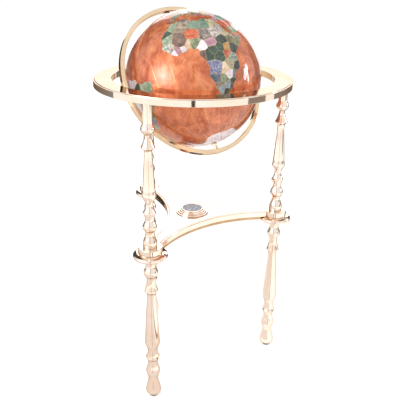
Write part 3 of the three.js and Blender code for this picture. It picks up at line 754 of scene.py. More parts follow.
def gimbal_pins():
    start, end = MERIDIAN_OUTER + 0.8 * MM, RING_INNER - GAP
    for side, turn in (("east", EASTWARD), ("west", WESTWARD)):
        pin = turned([
            (0, MERIDIAN_INNER + GAP), (2.8 * MM, MERIDIAN_INNER + GAP), (2.8 * MM, start), (5 * MM, start),
            (5 * MM, end), (2.8 * MM, end), (2.8 * MM, RING_INNER + 12 * MM), (0, RING_INNER + 12 * MM),
        ], 40)
        soften(pin, 0.4 * MM)
        place = Matrix.Translation(BALL_MIDDLE)
        piece("gimbal_journal_" + side, moved(pin, turn, place), GOLD, "stand", ["gimbal_pin_" + side])


# ---- The map: outlines and stones as (longitude, latitude) ----

LANDS = {
    "africa": [
        (-5.9, 35.8), (-2, 35.1), (3, 36.9), (9.7, 37.3), (11, 36.9), (10.2, 34.3), (11.5, 33.1), (15.2, 32.3),
        (19, 30.3), (20, 32.2), (23, 32.6), (25, 31.7), (29, 30.9), (32.3, 31.2), (32.6, 29.9), (34, 26.8),
        (35.5, 24), (37.2, 21), (37.3, 18.8), (39.2, 15.8), (43.1, 12.6), (43.3, 11.5), (51.2, 11.8), (51, 10.4),
        (48, 4.5), (44, 1.1), (40.5, -2.5), (39.2, -5), (39.4, -8), (40.6, -10.8), (40.7, -15), (37, -17.8),
        (34.8, -20), (35.5, -24), (32.8, -26), (31.5, -29.3), (28, -32.8), (25.7, -33.9), (20, -34.8),
        (18.3, -33.9), (17.8, -31.5), (15.2, -27), (14.4, -22.5), (11.8, -17.5), (13.8, -12), (12.9, -9),
        (12.2, -5.9), (9, -1), (9.6, 2), (9.5, 3.9), (8.5, 4.6), (6, 4.3), (4.4, 6.3), (1, 5.9), (-2, 4.8),
        (-4.5, 5.2), (-7.6, 4.4), (-11.4, 6.9), (-13.3, 9), (-15, 11), (-16.8, 12.5), (-17.4, 14.7),
        (-16.4, 16.3), (-16.2, 19.5), (-17, 21), (-15.8, 23.9), (-12.9, 27.9), (-9.8, 29.8), (-9.8, 31.5),
        (-6.8, 34.1)],
    "madagascar": [
        (49.3, -12), (50.5, -15.8), (49.5, -18), (47.1, -25), (44, -25), (43.3, -22), (44.4, -19.5),
        (44.4, -16.3), (47.5, -14.8)],
    "eurasia": [
        (-5.6, 36), (-8.9, 37), (-9.4, 38.7), (-8.8, 43.2), (-2, 43.4), (-1.3, 46), (-4.7, 48.4), (-1.6, 48.7),
        (-1.3, 49.7), (1.6, 50.6), (4, 52), (6, 53.5), (8.5, 53.9), (8.2, 57), (10.6, 57.7), (10.3, 56),
        (11, 54), (14.3, 54), (18.5, 54.7), (21.2, 55.2), (21.6, 57.4), (24.2, 57.3), (24, 59.3), (28.5, 59.6),
        (28.5, 60.4), (23, 60), (21.4, 61.5), (22, 63), (25.4, 65), (22.5, 65.8), (17.5, 62.5), (17.3, 60.7),
        (18.8, 59.8), (16.5, 57.5), (16, 56.2), (14.2, 55.5), (12.8, 55.5), (11.3, 58.5), (10.6, 59.4),
        (7, 58.1), (5.2, 60), (5.1, 62), (10, 64), (14, 67), (18, 69.5), (25, 71), (31, 70), (41, 67.5),
        (40, 66.5), (34, 66.8), (37, 64), (44, 66), (46, 68), (53, 68.5), (60, 68.8), (68, 68.5), (67, 72),
        (72.5, 71), (74, 68), (75, 72), (81, 73.5), (87, 75), (100, 76.3), (104, 77.7), (113, 74), (127, 73),
        (130, 71), (140, 72.8), (152, 71), (160, 69.7), (170, 70), (178, 69), (189, 66.2), (182, 64.5),
        (179, 62.4), (170, 60), (163.5, 59.8), (163, 56.5), (156.7, 51), (156, 56.7), (162, 61.5), (157, 61.7),
        (152, 59), (142, 59.2), (135.3, 54.8), (141, 53), (140.3, 48.5), (135.5, 44), (131.5, 42.9),
        (129.6, 41), (127.5, 39.7), (129.4, 37), (129, 35.2), (126.5, 34.4), (126.7, 37), (125, 39.5),
        (121.5, 39), (122, 40.7), (118, 39), (119, 37.3), (122.5, 37.2), (119.3, 35), (121.8, 31.7),
        (121.7, 28.5), (118, 24.4), (114, 22.4), (110, 21), (108.5, 21.8), (106, 19.5), (109, 15),
        (109.2, 11.7), (105, 8.7), (105, 10.5), (102.5, 12), (100.5, 13.5), (99.3, 10.5), (100.5, 7),
        (103.3, 4.5), (104.2, 1.4), (101.3, 2.8), (98.3, 8), (98.6, 12), (97.6, 16.7), (94.3, 16), (94, 19),
        (91.5, 22.7), (88.5, 21.7), (86.5, 20), (82.3, 16.7), (80.2, 15), (80, 12), (77.5, 8.1), (74.5, 13.5),
        (72.8, 19), (72.7, 21.3), (69, 22.2), (67, 24.8), (61.5, 25.1), (57.3, 25.7), (56.5, 27.1), (51, 28.5),
        (48.5, 30.2), (48, 29.5), (50, 26.7), (51.5, 25.5), (51.5, 24.3), (54.5, 24.3), (56.3, 26.2),
        (56.8, 24.2), (59.8, 22.4), (57.7, 19), (52, 15.6), (45, 12.8), (43.3, 13.3), (42.7, 16.5), (39, 21),
        (37, 24.5), (35, 28), (34.9, 29.4), (34.3, 28), (32.9, 29.9), (32.8, 31.1), (34.3, 31.3), (35.9, 35),
        (36, 36.8), (32.5, 36.2), (30.6, 36.8), (27.4, 36.8), (26.5, 39), (26.2, 40.1), (29, 40.95),
        (31.5, 41.3), (35, 42), (38.5, 41), (41.5, 41.5), (38, 44.5), (37.5, 46.8), (35, 46.3), (33.5, 45.2),
        (31, 46.6), (28.7, 44), (28, 42), (28.7, 41.3), (26.3, 40.7), (24, 40.7), (22.8, 40.3), (24, 38),
        (22.8, 36.5), (21.3, 37.5), (19.4, 40.5), (19.5, 42), (15.5, 44), (13.6, 45.5), (12.4, 44.7),
        (13.7, 43.5), (16, 41.8), (18.4, 40), (16.9, 40.4), (16, 38), (15.7, 40), (12.5, 41.5), (10.3, 43.7),
        (8.7, 44.4), (6, 43.1), (3.1, 43.2), (3.2, 41.8), (0, 39.5), (-0.5, 38.3), (-2.2, 36.8), (-4.5, 36.7)],
    "britain": [
        (-5.5, 50.1), (1.3, 51.2), (1.6, 52.8), (-1.5, 55), (-2, 57.6), (-5, 58.6), (-5.2, 56), (-3.2, 54.9),
        (-4.5, 53), (-3, 51.4)],
    "ireland": [(-6.3, 52.2), (-10, 51.8), (-9.8, 54), (-7.3, 55.3), (-6, 54)],
    "iceland": [(-22.5, 64), (-18.5, 63.4), (-14, 64.9), (-16, 66.4), (-22.5, 66.3), (-24, 65.4)],
    "greenland": [
        (-44, 60), (-40, 64), (-33, 67.5), (-22, 70.5), (-20, 75), (-18, 80), (-32, 83.5), (-60, 82),
        (-68, 80), (-72, 78), (-60, 76), (-55, 72), (-53, 67), (-50, 62)],
    "north_america": [
        (-168, 65.5), (-162, 66.5), (-166.5, 68.5), (-156.5, 71.2), (-141, 69.6), (-128, 70.5), (-115, 68.5),
        (-108, 68), (-95, 67.5), (-93, 70), (-86, 68), (-81, 69), (-82, 66.5), (-87, 64.5), (-94, 61),
        (-94, 58.8), (-92.5, 57), (-88, 56.5), (-82.3, 55.2), (-82, 52.8), (-79.5, 51.3), (-79, 54.5),
        (-76.5, 57), (-78, 60), (-77.5, 62.5), (-73.5, 62.4), (-70, 60.5), (-66, 58.8), (-64.5, 60.3),
        (-61, 56), (-56, 53), (-57.5, 51.3), (-65, 50.2), (-70, 47), (-65, 49), (-64.5, 46.5), (-60, 46),
        (-64, 44), (-66.5, 45), (-70.5, 43.2), (-70, 41.6), (-74, 40.5), (-76, 37), (-75.7, 35.2), (-81, 32),
        (-80, 26.8), (-81, 25.2), (-82.7, 28), (-84, 30), (-89.5, 30.2), (-94, 29.6), (-97.3, 27.5),
        (-97.7, 22.5), (-96, 19), (-94.5, 18.1), (-91, 18.7), (-90.3, 21), (-87, 21.4), (-88.2, 18),
        (-88.5, 15.8), (-83.3, 15), (-83.7, 11), (-81, 8.9), (-79.5, 9.6), (-77.6, 8.6), (-78, 7.3),
        (-80.3, 7.4), (-83, 8.3), (-85.7, 10), (-87.5, 13), (-92, 14.5), (-95, 16), (-99.7, 16.7),
        (-105.5, 19.8), (-105.5, 22.5), (-109.3, 25.7), (-112.5, 30), (-114.8, 31.7), (-112.8, 28),
        (-109.5, 23.1), (-112, 25), (-115, 28), (-117, 32.5), (-120.6, 34.6), (-124.3, 40.3), (-124, 46.5),
        (-123, 48.8), (-128, 51), (-131, 55), (-136, 58.3), (-141, 60), (-148, 60.5), (-152, 59.3),
        (-158, 56.5), (-164.5, 54.7), (-158, 58.5), (-162, 59), (-165.5, 61.5), (-161, 64.3)],
    "baffin": [
        (-62, 66.5), (-68, 63), (-72, 64.5), (-78, 65), (-73, 68), (-85, 70), (-89, 71), (-85, 73.5),
        (-76, 72.5), (-68, 70)],
    "ellesmere": [(-62, 82.5), (-75, 78.5), (-88, 76.5), (-90, 80), (-80, 83)],
    "victoria": [(-105, 69), (-117, 69.5), (-118, 72), (-108, 73), (-103, 71)],
    "newfoundland": [(-53, 47), (-59, 47.7), (-56, 51.5)],
    "cuba": [(-85, 22), (-80, 23.1), (-74.3, 20.2), (-77.7, 19.9)],
    "hispaniola": [(-74.4, 18.4), (-73, 19.9), (-68.4, 18.6), (-71, 17.8)],
    "south_america": [
        (-77.3, 8.5), (-75.5, 10.6), (-71.7, 12.3), (-70, 11.5), (-64.5, 10.2), (-61, 9), (-57, 6),
        (-51.5, 4.3), (-50, 1), (-48, -0.8), (-44, -2.5), (-40, -2.9), (-35.3, -5.2), (-34.9, -8),
        (-37.2, -11.5), (-39, -13.5), (-39.2, -17.8), (-41, -22), (-44.5, -23.2), (-48.5, -26),
        (-48.8, -28.6), (-52.2, -32.5), (-54, -34.7), (-58.3, -34.1), (-56.8, -36.5), (-58, -38.2),
        (-62.2, -39), (-65, -41), (-65.2, -45), (-67.5, -46.3), (-66, -48), (-69, -51), (-68.3, -52.5),
        (-65.3, -54.7), (-69, -55.2), (-74, -53), (-75.6, -48), (-73, -42), (-73.4, -37), (-71.6, -33),
        (-70.4, -25), (-70.3, -18.4), (-76.2, -14), (-81.2, -6), (-80.3, -3.3), (-81, -2.2), (-80, 0.8),
        (-77.5, 3), (-77.5, 7)],
    "antarctica": [
        (-57, -63.3), (-61, -66), (-61, -70), (-62, -74), (-60, -78), (-40, -78), (-28, -76.5), (-15, -72.5),
        (0, -70.5), (15, -69.8), (30, -69.2), (40, -68.8), (50, -66.6), (58, -67.2), (70, -68.5), (78, -69),
        (88, -66.6), (100, -66), (112, -66), (125, -66.5), (135, -66.3), (145, -67.3), (155, -69),
        (165, -70.8), (170, -72), (164, -77.5), (180, -78.2), (195, -78.3), (205, -77.2), (215, -75.5),
        (230, -74.3), (248, -74.3), (260, -73), (275, -73.3), (287, -73), (292, -69), (296, -65.5)],
    "australia": [
        (113.6, -22.5), (114.2, -26.3), (115.7, -32), (115.2, -34.3), (118, -35), (123.5, -34), (126, -32.3),
        (131.2, -31.5), (134.5, -33), (136, -34.6), (137.8, -33), (138.3, -35.5), (140.8, -38), (143.5, -38.8),
        (146.5, -39), (150, -37.4), (151.5, -33), (153.5, -28.5), (150.8, -23.4), (146.2, -18.9), (145.3, -15),
        (142.5, -10.8), (141.6, -14), (140.8, -17.5), (139, -17.4), (135.5, -15), (136.8, -12.2),
        (132.5, -11.3), (130, -13.5), (128.5, -15), (125.5, -14.2), (122.2, -18), (117, -20.7)],
    "tasmania": [(144.7, -40.8), (148.2, -40.8), (147.5, -43.4), (146, -43.4)],
    "north_island": [
        (173, -34.5), (175.8, -36.8), (178.4, -37.7), (176.8, -40.3), (174.9, -41.4), (173.8, -39.3),
        (174.7, -37)],
    "south_island": [(172.7, -40.6), (174.2, -41.8), (171, -45.7), (168.5, -46.6), (166.6, -45.9), (170.5, -43)],
    "new_guinea": [
        (131, -0.8), (134, -0.9), (135, -3.3), (138, -1.7), (145.5, -4.8), (150.5, -10.5), (146, -8.7),
        (143, -9), (138.5, -8.2), (135.5, -4.5), (132.8, -4)],
    "borneo": [
        (109.2, 1.8), (113, 3.2), (117, 7), (119, 5), (117.7, 1), (116.4, -3.8), (111, -3), (109.2, -0.5)],
    "sumatra": [(95.3, 5.6), (98.5, 3.8), (103.5, 0), (106, -3.2), (105.6, -5.8), (102, -4), (98.7, 1.7)],
    "java": [(105.3, -6.7), (108.5, -6.6), (114.4, -7.8), (114.3, -8.7), (108, -7.8)],
    "sulawesi": [(119.5, -5.5), (119, -1), (120.5, 1.2), (125, 1.6), (121, 0.4), (123, -4.5), (121, -3)],
    "luzon": [(120.5, 18.5), (122.2, 18.4), (121.6, 14.2), (124, 12.9), (120.6, 14)],
    "mindanao": [(122, 7), (125.5, 9.8), (126.5, 7.5), (125.4, 5.8)],
    "honshu": [
        (131, 34.3), (136, 35.8), (139.8, 38.5), (140.3, 41.3), (141.9, 39.5), (140.8, 35.7), (135.8, 33.5)],
    "hokkaido": [(140.2, 42.2), (141.8, 45.4), (145.3, 43.3), (143.2, 42)],
    "kyushu": [(130, 33.5), (131.9, 33.3), (130.8, 31.1)],
    "ceylon": [(79.8, 8), (81.3, 8.4), (81.6, 6.7), (80.2, 6)],
    "novaya_zemlya": [(52, 71), (57, 70.7), (56.5, 73.5), (68, 77), (60, 76)],
    "svalbard": [(12, 79.8), (25, 80.2), (20, 77.5), (15, 77)],
}

# The stones of each land: one stone for a small one, and a list of middles for a land made of many.
MOSAIC = {
    "africa": [
        (-5.5, 31.8, "sage_jasper"), (2, 28.5, "tan_agate"), (9.5, 33.5, "grey_lace"), (14, 27.5, "turquoise"),
        (22, 26.5, "turquoise"), (30, 26.5, "sand_jasper"), (-12, 20.5, "sage_jasper"),
        (-13.5, 25.5, "deep_green"), (-3, 17.5, "brown_agate"), (9, 18, "carnelian"), (18.5, 15.2, "grey_lace"),
        (27.5, 16, "pale_granite"), (34.5, 19, "pale_granite"), (37.5, 15, "sand_jasper"),
        (-15, 14, "moss_granite"), (-12, 10, "pale_granite"), (-9, 6.5, "snow_quartz"),
        (-5.5, 7.5, "rhodonite"), (-1.5, 8, "white_howlite"), (-1.5, 12.3, "brown_agate"),
        (2.3, 9.3, "cream_onyx"), (8, 9.5, "moss_jade"), (12.5, 5.5, "snow_quartz"), (20.5, 7, "rhodonite"),
        (30.5, 8, "black_jade"), (39.5, 9.3, "olive_serpentine"), (45.5, 6, "olive_serpentine"),
        (42.3, 11.7, "grey_lace"), (11.8, -0.8, "brown_agate"), (15.5, -1.2, "deep_green"),
        (20.5, 1.5, "deep_green"), (25, -4, "deep_green"), (27, 2, "deep_green"), (32.3, 1.6, "amber"),
        (31, -3, "red_jasper"), (38, 0.5, "black_jade"), (34.5, -6.5, "moss_granite"),
        (15.5, -12, "lapis_lilac"), (20.5, -12.5, "lapis_lilac"), (26.5, -14.5, "cream_onyx"),
        (31.5, -11.5, "sand_jasper"), (38, -14, "black_jade"), (35, -20, "slate_blue"),
        (29.5, -19, "snow_quartz"), (24, -22.5, "moss_jade"), (16.5, -21, "slate_blue"),
        (15.5, -26, "tan_agate"), (20.5, -30, "blue_chalcedony"), (26.5, -27, "blue_chalcedony"),
        (25, -32, "deep_green"), (30.5, -28.5, "slate_blue"), (32.7, -25, "black_jade")],
    "eurasia": [
        (-8, 40, "red_jasper"), (-3.5, 40, "tan_agate"), (2.5, 46.8, "sage_jasper"), (10, 51, "sand_jasper"),
        (5.5, 51.5, "carnelian"), (13, 42.5, "moss_jade"), (14.5, 47.5, "white_howlite"), (19.5, 52, "rhodonite"),
        (19.5, 46.8, "grey_lace"), (21, 43.2, "olive_serpentine"), (25.3, 45.9, "cream_onyx"),
        (22.5, 39.5, "lapis_lilac"), (32, 49.5, "moss_granite"), (27.5, 54, "amber"), (10, 61, "slate_blue"),
        (15.5, 62.5, "sand_jasper"), (27, 64, "blue_chalcedony"), (9.3, 56, "snow_quartz"),
        (34, 39.2, "sand_jasper"), (40, 39.5, "brown_agate"), (42.5, 33, "turquoise"), (37.5, 33.8, "rhodonite"),
        (45, 25, "carnelian"), (46.5, 16, "moss_jade"), (55, 21, "snow_quartz"), (53.5, 33, "deep_green"),
        (44.5, 42, "white_howlite"), (65.5, 34.5, "tan_agate"), (69, 29, "moss_jade"), (78.5, 23, "carnelian"),
        (77.5, 14, "red_jasper"), (86, 26, "white_howlite"), (90.3, 24, "slate_blue"), (60, 39.5, "sand_jasper"),
        (67, 48, "olive_serpentine"), (72, 40.5, "lapis_lilac"), (42, 56, "moss_granite"),
        (55, 62, "sage_jasper"), (72, 62, "sage_jasper"), (90, 60, "moss_jade"), (88, 68, "pale_granite"),
        (108, 62, "blue_chalcedony"), (125, 65, "moss_granite"), (143, 65, "sand_jasper"),
        (165, 65, "sage_jasper"), (130, 55, "tan_agate"), (160, 56, "olive_serpentine"),
        (103, 46.5, "rhodonite"), (88, 38, "amber"), (90, 31.5, "cream_onyx"), (103, 33, "sand_jasper"),
        (113, 29, "carnelian"), (116, 40, "brown_agate"), (126, 46, "turquoise"), (127, 37.5, "snow_quartz"),
        (96.5, 21, "olive_serpentine"), (101.5, 15.5, "lapis_lilac"), (106.5, 16, "deep_green"),
        (102, 4.5, "moss_jade")],
    "greenland": [(-42, 65, "snow_quartz"), (-40, 74, "white_howlite"), (-55, 80, "blue_chalcedony")],
    "north_america": [
        (-153, 65, "sand_jasper"), (-135, 64, "sage_jasper"), (-120, 65, "pale_granite"),
        (-102, 64, "blue_chalcedony"), (-125, 55, "moss_granite"), (-114.5, 55, "amber"),
        (-106, 54, "deep_green"), (-97, 54, "rhodonite"), (-86, 50, "sand_jasper"), (-72, 52, "lapis_lilac"),
        (-65, 45.5, "carnelian"), (-120, 46, "moss_jade"), (-110, 46, "tan_agate"), (-98, 46, "white_howlite"),
        (-119, 38, "cream_onyx"), (-108, 38, "red_jasper"), (-98, 38, "olive_serpentine"),
        (-99, 32, "brown_agate"), (-88, 43, "turquoise"), (-76, 41.5, "snow_quartz"), (-86, 34.5, "slate_blue"),
        (-81.5, 28.5, "amber"), (-107, 28, "moss_jade"), (-100, 21, "sage_jasper"), (-90, 18, "grey_lace"),
        (-86, 13.5, "rhodonite"), (-81, 8.5, "sand_jasper")],
    "south_america": [
        (-73.5, 4, "sand_jasper"), (-66, 7.5, "rhodonite"), (-57.5, 4, "white_howlite"),
        (-78.3, -1.2, "amber"), (-75, -9.5, "carnelian"), (-62, -4, "moss_granite"), (-53, -7, "deep_green"),
        (-44, -8, "sage_jasper"), (-52, -16, "moss_granite"), (-42, -17, "olive_serpentine"),
        (-64.5, -16.5, "snow_quartz"), (-58.5, -23.5, "tan_agate"), (-51.5, -27, "moss_jade"),
        (-56, -33, "lapis_lilac"), (-64, -30, "blue_chalcedony"), (-66, -38, "sand_jasper"),
        (-69.5, -47, "cream_onyx"), (-72, -34, "red_jasper"), (-72, -52, "slate_blue")],
    "antarctica": [
        (0, -80, "snow_quartz"), (60, -74, "snow_quartz"), (110, -74, "white_howlite"),
        (160, -82, "snow_quartz"), (240, -80, "white_howlite"), (298, -70, "snow_quartz")],
    "australia": [
        (121, -27, "sand_jasper"), (133, -19, "carnelian"), (135, -29, "tan_agate"), (144, -22, "moss_jade"),
        (147, -32, "rhodonite"), (144.5, -37, "sage_jasper")],
    "madagascar": [(46, -15.5, "snow_quartz"), (46.5, -21, "snow_quartz")],
    "britain": [(-4, 57, "slate_blue"), (-1.5, 52.5, "carnelian")],
    "ireland": "moss_jade", "iceland": "snow_quartz", "baffin": "pale_granite", "ellesmere": "white_howlite",
    "victoria": "blue_chalcedony", "newfoundland": "amber", "cuba": "red_jasper", "hispaniola": "moss_jade",
    "tasmania": "moss_granite", "north_island": "sage_jasper", "south_island": "blue_chalcedony",
    "new_guinea": "olive_serpentine", "borneo": "turquoise", "sumatra": "carnelian", "java": "cream_onyx",
    "sulawesi": "rhodonite", "luzon": "amber", "mindanao": "lapis_lilac", "honshu": "snow_quartz",
    "hokkaido": "moss_jade", "kyushu": "carnelian", "ceylon": "turquoise", "novaya_zemlya": "white_howlite",
    "svalbard": "snow_quartz",
}
GRID_STEP = 2.5
COAST_WANDER = 0.011


def bearing(longitude, latitude):
    """The direction of a place on the ball, in the ball's own frame, pole along Z."""
    lon, lat = math.radians(longitude) + SPIN, math.radians(latitude)
    return Vector((math.cos(lat) * math.cos(lon), math.cos(lat) * math.sin(lon), math.sin(lat)))


def tangent_frame(centre):
    north = Vector((0, 0, 1)) if abs(centre.z) < 0.999 else Vector((1, 0, 0))
    east = north.cross(centre).normalized()
    return east, centre.cross(east)


def flattened(direction, centre):
    """A direction as a point on a flat sheet laid on the ball at the centre, in degrees of arc."""
    east, north = tangent_frame(centre)
    angle = math.acos(max(-1, min(1, direction.dot(centre))))
    flat = Vector((direction.dot(east), direction.dot(north), 0))
    return flat.normalized() * math.degrees(angle) if flat.length > 1e-9 else flat


def wrapped(point, centre):
    """The reverse of flattened."""
    east, north = tangent_frame(centre)
    angle = math.radians(point.length)
    if angle < 1e-9:
        return centre.copy()
    aside = (east * point.x + north * point.y) / point.length
    return centre * math.cos(angle) + aside * math.sin(angle)


def land_sheet(outline):
    """A land cut out flat, divided finely enough to follow the ball, then laid on the ball with a wandering coast."""
    places = [bearing(*point) for point in outline]
    centre = sum(places, Vector()).normalized()
    bm = bmesh.new()
    flat = [flattened(place, centre) for place in places]
    bm.faces.new([bm.verts.new(point) for point in flat])
    bmesh.ops.triangulate(bm, faces=bm.faces[:], ngon_method="EAR_CLIP")
    for axis in range(2):
        normal = Vector((1, 0, 0)) if axis == 0 else Vector((0, 1, 0))
        values = [v.co[axis] for v in bm.verts]
        for step in range(math.ceil(min(values) / GRID_STEP), math.floor(max(values) / GRID_STEP) + 1):
            geom = bm.verts[:] + bm.edges[:] + bm.faces[:]
            bmesh.ops.bisect_plane(bm, geom=geom, plane_co=normal * step * GRID_STEP, plane_no=normal, dist=1e-4)
    for v in bm.verts:
        place = wrapped(v.co, centre)
        v.co = (place + noise.noise_vector(place * 14) * COAST_WANDER).normalized()
    return bm


def cut_stone(sheet, middles, index):
    """The part of a land that is nearer to one stone's middle than to any other's."""
    bm = sheet.copy()
    here = bearing(*middles[index][:2])
    for other, place in enumerate(middles):
        if other == index or not bm.faces:
            continue
        normal = bearing(*place[:2]) - here
        bmesh.ops.bisect_plane(bm, geom=bm.verts[:] + bm.edges[:] + bm.faces[:], plane_co=(0, 0, 0),
                               plane_no=normal, clear_outer=True, dist=1e-7)
    return bm


def set_stone(bm, stone_index, wire_index):
    """Gives a cut stone its wire border and its thickness, in metres on the ball."""
    bmesh.ops.scale(bm, vec=(STONE_FOOT,) * 3, verts=bm.verts)
    bmesh.ops.remove_doubles(bm, verts=bm.verts, dist=0.7 * MM)
    if not bm.faces:
        return
    for face in bm.faces:
        face.material_index = stone_index
        if face.normal.dot(face.calc_center_median()) < 0:
            face.normal_flip()
    stones = bm.faces[:]
    border = bmesh.ops.inset_region(bm, faces=stones, thickness=WIRE, depth=0, use_boundary=True,
                                    use_even_offset=False)["faces"]
    for face in border:
        face.material_index = wire_index
    raised = bmesh.ops.extrude_face_region(bm, geom=bm.faces[:], use_keep_orig=True)
    for v in raised["geom"]:
        if isinstance(v, bmesh.types.BMVert):
            v.co = v.co.normalized() * STONE_FACE


def add_mesh(whole, part):
    """Copies one bmesh into another, keeping material numbers."""
    mesh = bpy.data.meshes.new("part")
    part.to_mesh(mesh)
    whole.from_mesh(mesh)
    bpy.data.meshes.remove(mesh)
    part.free()


def lands():
    for land, outline in LANDS.items():
        sheet = land_sheet(outline)
        stones = MOSAIC[land]
        middles = [(0, 0, stones)] if isinstance(stones, str) else stones
        used = sorted({middle[2] for middle in middles})
        whole = bmesh.new()
        for index, middle_stone in enumerate(middles):
            cut = cut_stone(sheet, middles, index)
            set_stone(cut, used.index(middle_stone[2]), len(used))
            add_mesh(whole, cut)
        sheet.free()
        bmesh.ops.recalc_face_normals(whole, faces=whole.faces)
        moved(whole, ONTO_BALL)
        piece("stones_" + land, whole, [STONES[stone] for stone in used] + [WIRE_GOLD], "globe",
              smooth_angle=40)


def ocean():
    """The ocean veneer: a hollow ball, open at the poles for the hubs."""
    hole = math.asin(POLE_HOLE / OCEAN_RADIUS)
    inner = BALL_RADIUS - VENEER
    steps = 90
    outside = [(OCEAN_RADIUS * math.sin(a), OCEAN_RADIUS * math.cos(a))
               for a in (hole + (math.pi - 2 * hole) * i / steps for i in range(steps + 1))]
    inside = [(inner * math.sin(a), inner * math.cos(a))
              for a in (math.pi - hole - (math.pi - 2 * hole) * i / steps for i in range(steps + 1))]
    shell = turned(outside + inside, 180, loop=True)
    piece("ocean_veneer", moved(shell, ONTO_BALL), ocean_stone(), "globe", ["stone_veneer"])


def meridian_wires():
    """Thin gold wires from pole to pole, let into the ocean."""
    whole = bmesh.new()
    reach = math.radians(84)
    for longitude in range(0, 360, WIRE_SPACING):
        wire = bmesh.new()
        section = [(-WIRE, -0.3 * MM), (WIRE, -0.3 * MM), (WIRE, 0.06 * MM), (-WIRE, 0.06 * MM)]
        verts = [wire.verts.new((OCEAN_RADIUS + up, across, 0)) for across, up in section]
        face = wire.faces.new(verts)
        bmesh.ops.rotate(wire, verts=verts, cent=(0, 0, 0), matrix=Matrix.Rotation(reach, 3, "Y"))
        bmesh.ops.spin(wire, geom=[face] + list(face.edges) + verts, cent=(0, 0, 0), axis=(0, 1, 0),
                       angle=-2 * reach, steps=64, use_merge=False, use_duplicate=False)
        moved(wire, Matrix.Rotation(math.radians(longitude) + SPIN, 4, "Z"))
        add_mesh(whole, wire)
    bmesh.ops.recalc_face_normals(whole, faces=whole.faces)
    piece("meridian_wires", moved(whole, ONTO_BALL), WIRE_GOLD, "globe")


# ---- Build ----

legs()
bosses()
shelf()
compass()
horizon_ring()
meridian_ring()
pole_fittings()
gimbal_pins()
ocean()
meridian_wires()
lands()

INSIDE = {
    "tie_rod_back": STEEL, "tie_rod_left": STEEL, "tie_rod_right": STEEL,
    "ring_stud_back": STEEL, "ring_stud_left": STEEL, "ring_stud_right": STEEL,
    "ball_core_north": RESIN, "ball_core_south": RESIN,
    "ball_hub_north": BRONZE, "ball_hub_south": BRONZE,
    "gimbal_bush_east": BRONZE, "gimbal_bush_west": BRONZE,
}
for node, material in INSIDE.items():
    materials = frame["nodes"][node].data.materials
    materials.clear()
    materials.append(material)

# ---- Camera ----

CAMERA_PLACE = Vector((-0.792, -1.1779, 1.077))
CAMERA_AIM = Vector((0.0167, -0.0244, 0.4693))
CAMERA_ROLL = math.radians(0.811)
CAMERA_VIEW = math.radians(37.95)

camera_data = bpy.data.cameras.new("camera")
camera_data.sensor_width = 36
camera_data.lens = 18 / math.tan(CAMERA_VIEW / 2)
camera = bpy.data.objects.new("camera", camera_data)
bpy.context.scene.collection.objects.link(camera)
look = (CAMERA_AIM - CAMERA_PLACE).to_track_quat("-Z", "Y").to_matrix().to_4x4()
camera.matrix_world = Matrix.Translation(CAMERA_PLACE) @ look @ Matrix.Rotation(CAMERA_ROLL, 4, "Z")
bpy.context.scene.camera = camera

# ---- Studio ----

CAMERA_BEARING = math.degrees(math.atan2(CAMERA_PLACE.y, CAMERA_PLACE.x))


def studio_finish(name, colour, strength=None, soft_edge=False):
    """A plain card, or a glowing panel that fades towards its edges."""
    material = bpy.data.materials.new(name)
    material.use_nodes = True
    tree = material.node_tree
    tree.nodes.clear()
    output = tree.nodes.new("ShaderNodeOutputMaterial")
    if strength is None:
        shader = tree.nodes.new("ShaderNodeBsdfDiffuse")
        shader.inputs["Color"].default_value = colour
        tree.links.new(shader.outputs[0], output.inputs["Surface"])
        return material
    glow = tree.nodes.new("ShaderNodeEmission")
    glow.inputs["Color"].default_value = colour
    glow.inputs["Strength"].default_value = strength
    if soft_edge:
        place = tree.nodes.new("ShaderNodeTexCoord")
        mapping = tree.nodes.new("ShaderNodeMapping")
        mapping.inputs["Location"].default_value = (-1, -1, 0)
        mapping.inputs["Scale"].default_value = (2, 2, 0)
        tree.links.new(place.outputs["UV"], mapping.inputs["Vector"])
        fade = tree.nodes.new("ShaderNodeTexGradient")
        fade.gradient_type = "QUADRATIC_SPHERE"
        tree.links.new(mapping.outputs["Vector"], fade.inputs["Vector"])
        clear = tree.nodes.new("ShaderNodeBsdfTransparent")
        blend = tree.nodes.new("ShaderNodeMixShader")
        tree.links.new(fade.outputs["Fac"], blend.inputs["Fac"])
        tree.links.new(clear.outputs[0], blend.inputs[1])
        tree.links.new(glow.outputs[0], blend.inputs[2])
        tree.links.new(blend.outputs[0], output.inputs["Surface"])
    else:
        tree.links.new(glow.outputs[0], output.inputs["Surface"])
    return material


def panel(name, azimuth, elevation, distance, width, height, material, aim=BALL_MIDDLE):
    """A studio panel facing the aim, seen only in reflections."""
    azimuth, elevation = math.radians(azimuth), math.radians(elevation)
    away = Vector((math.cos(azimuth) * math.cos(elevation), math.sin(azimuth) * math.cos(elevation),
                   math.sin(elevation)))
    bm = bmesh.new()
    bmesh.ops.create_grid(bm, x_segments=1, y_segments=1, size=0.5, calc_uvs=True)
    bm.loops.layers.uv.verify()
    uv = bm.loops.layers.uv.active
    for face in bm.faces:
        for loop in face.loops:
            loop[uv].uv = (loop.vert.co.x + 0.5, loop.vert.co.y + 0.5)
    facing = (-away).to_track_quat("Z", "Y").to_matrix().to_4x4()
    moved(bm, Matrix.Diagonal((width, height, 1, 1)), facing, Matrix.Translation(aim + away * distance))
    return card(name, bm, material)


def card(name, bm, material):
    """A studio card, seen only in reflections."""
    mesh = bpy.data.meshes.new(name)
    bm.to_mesh(mesh)
    bm.free()
    mesh.materials.append(material)
    obj = bpy.data.objects.new(name, mesh)
    bpy.context.scene.collection.objects.link(obj)
    obj.visible_camera = False
    obj.visible_diffuse = False
    obj.visible_shadow = False
    obj.visible_transmission = False
    return obj


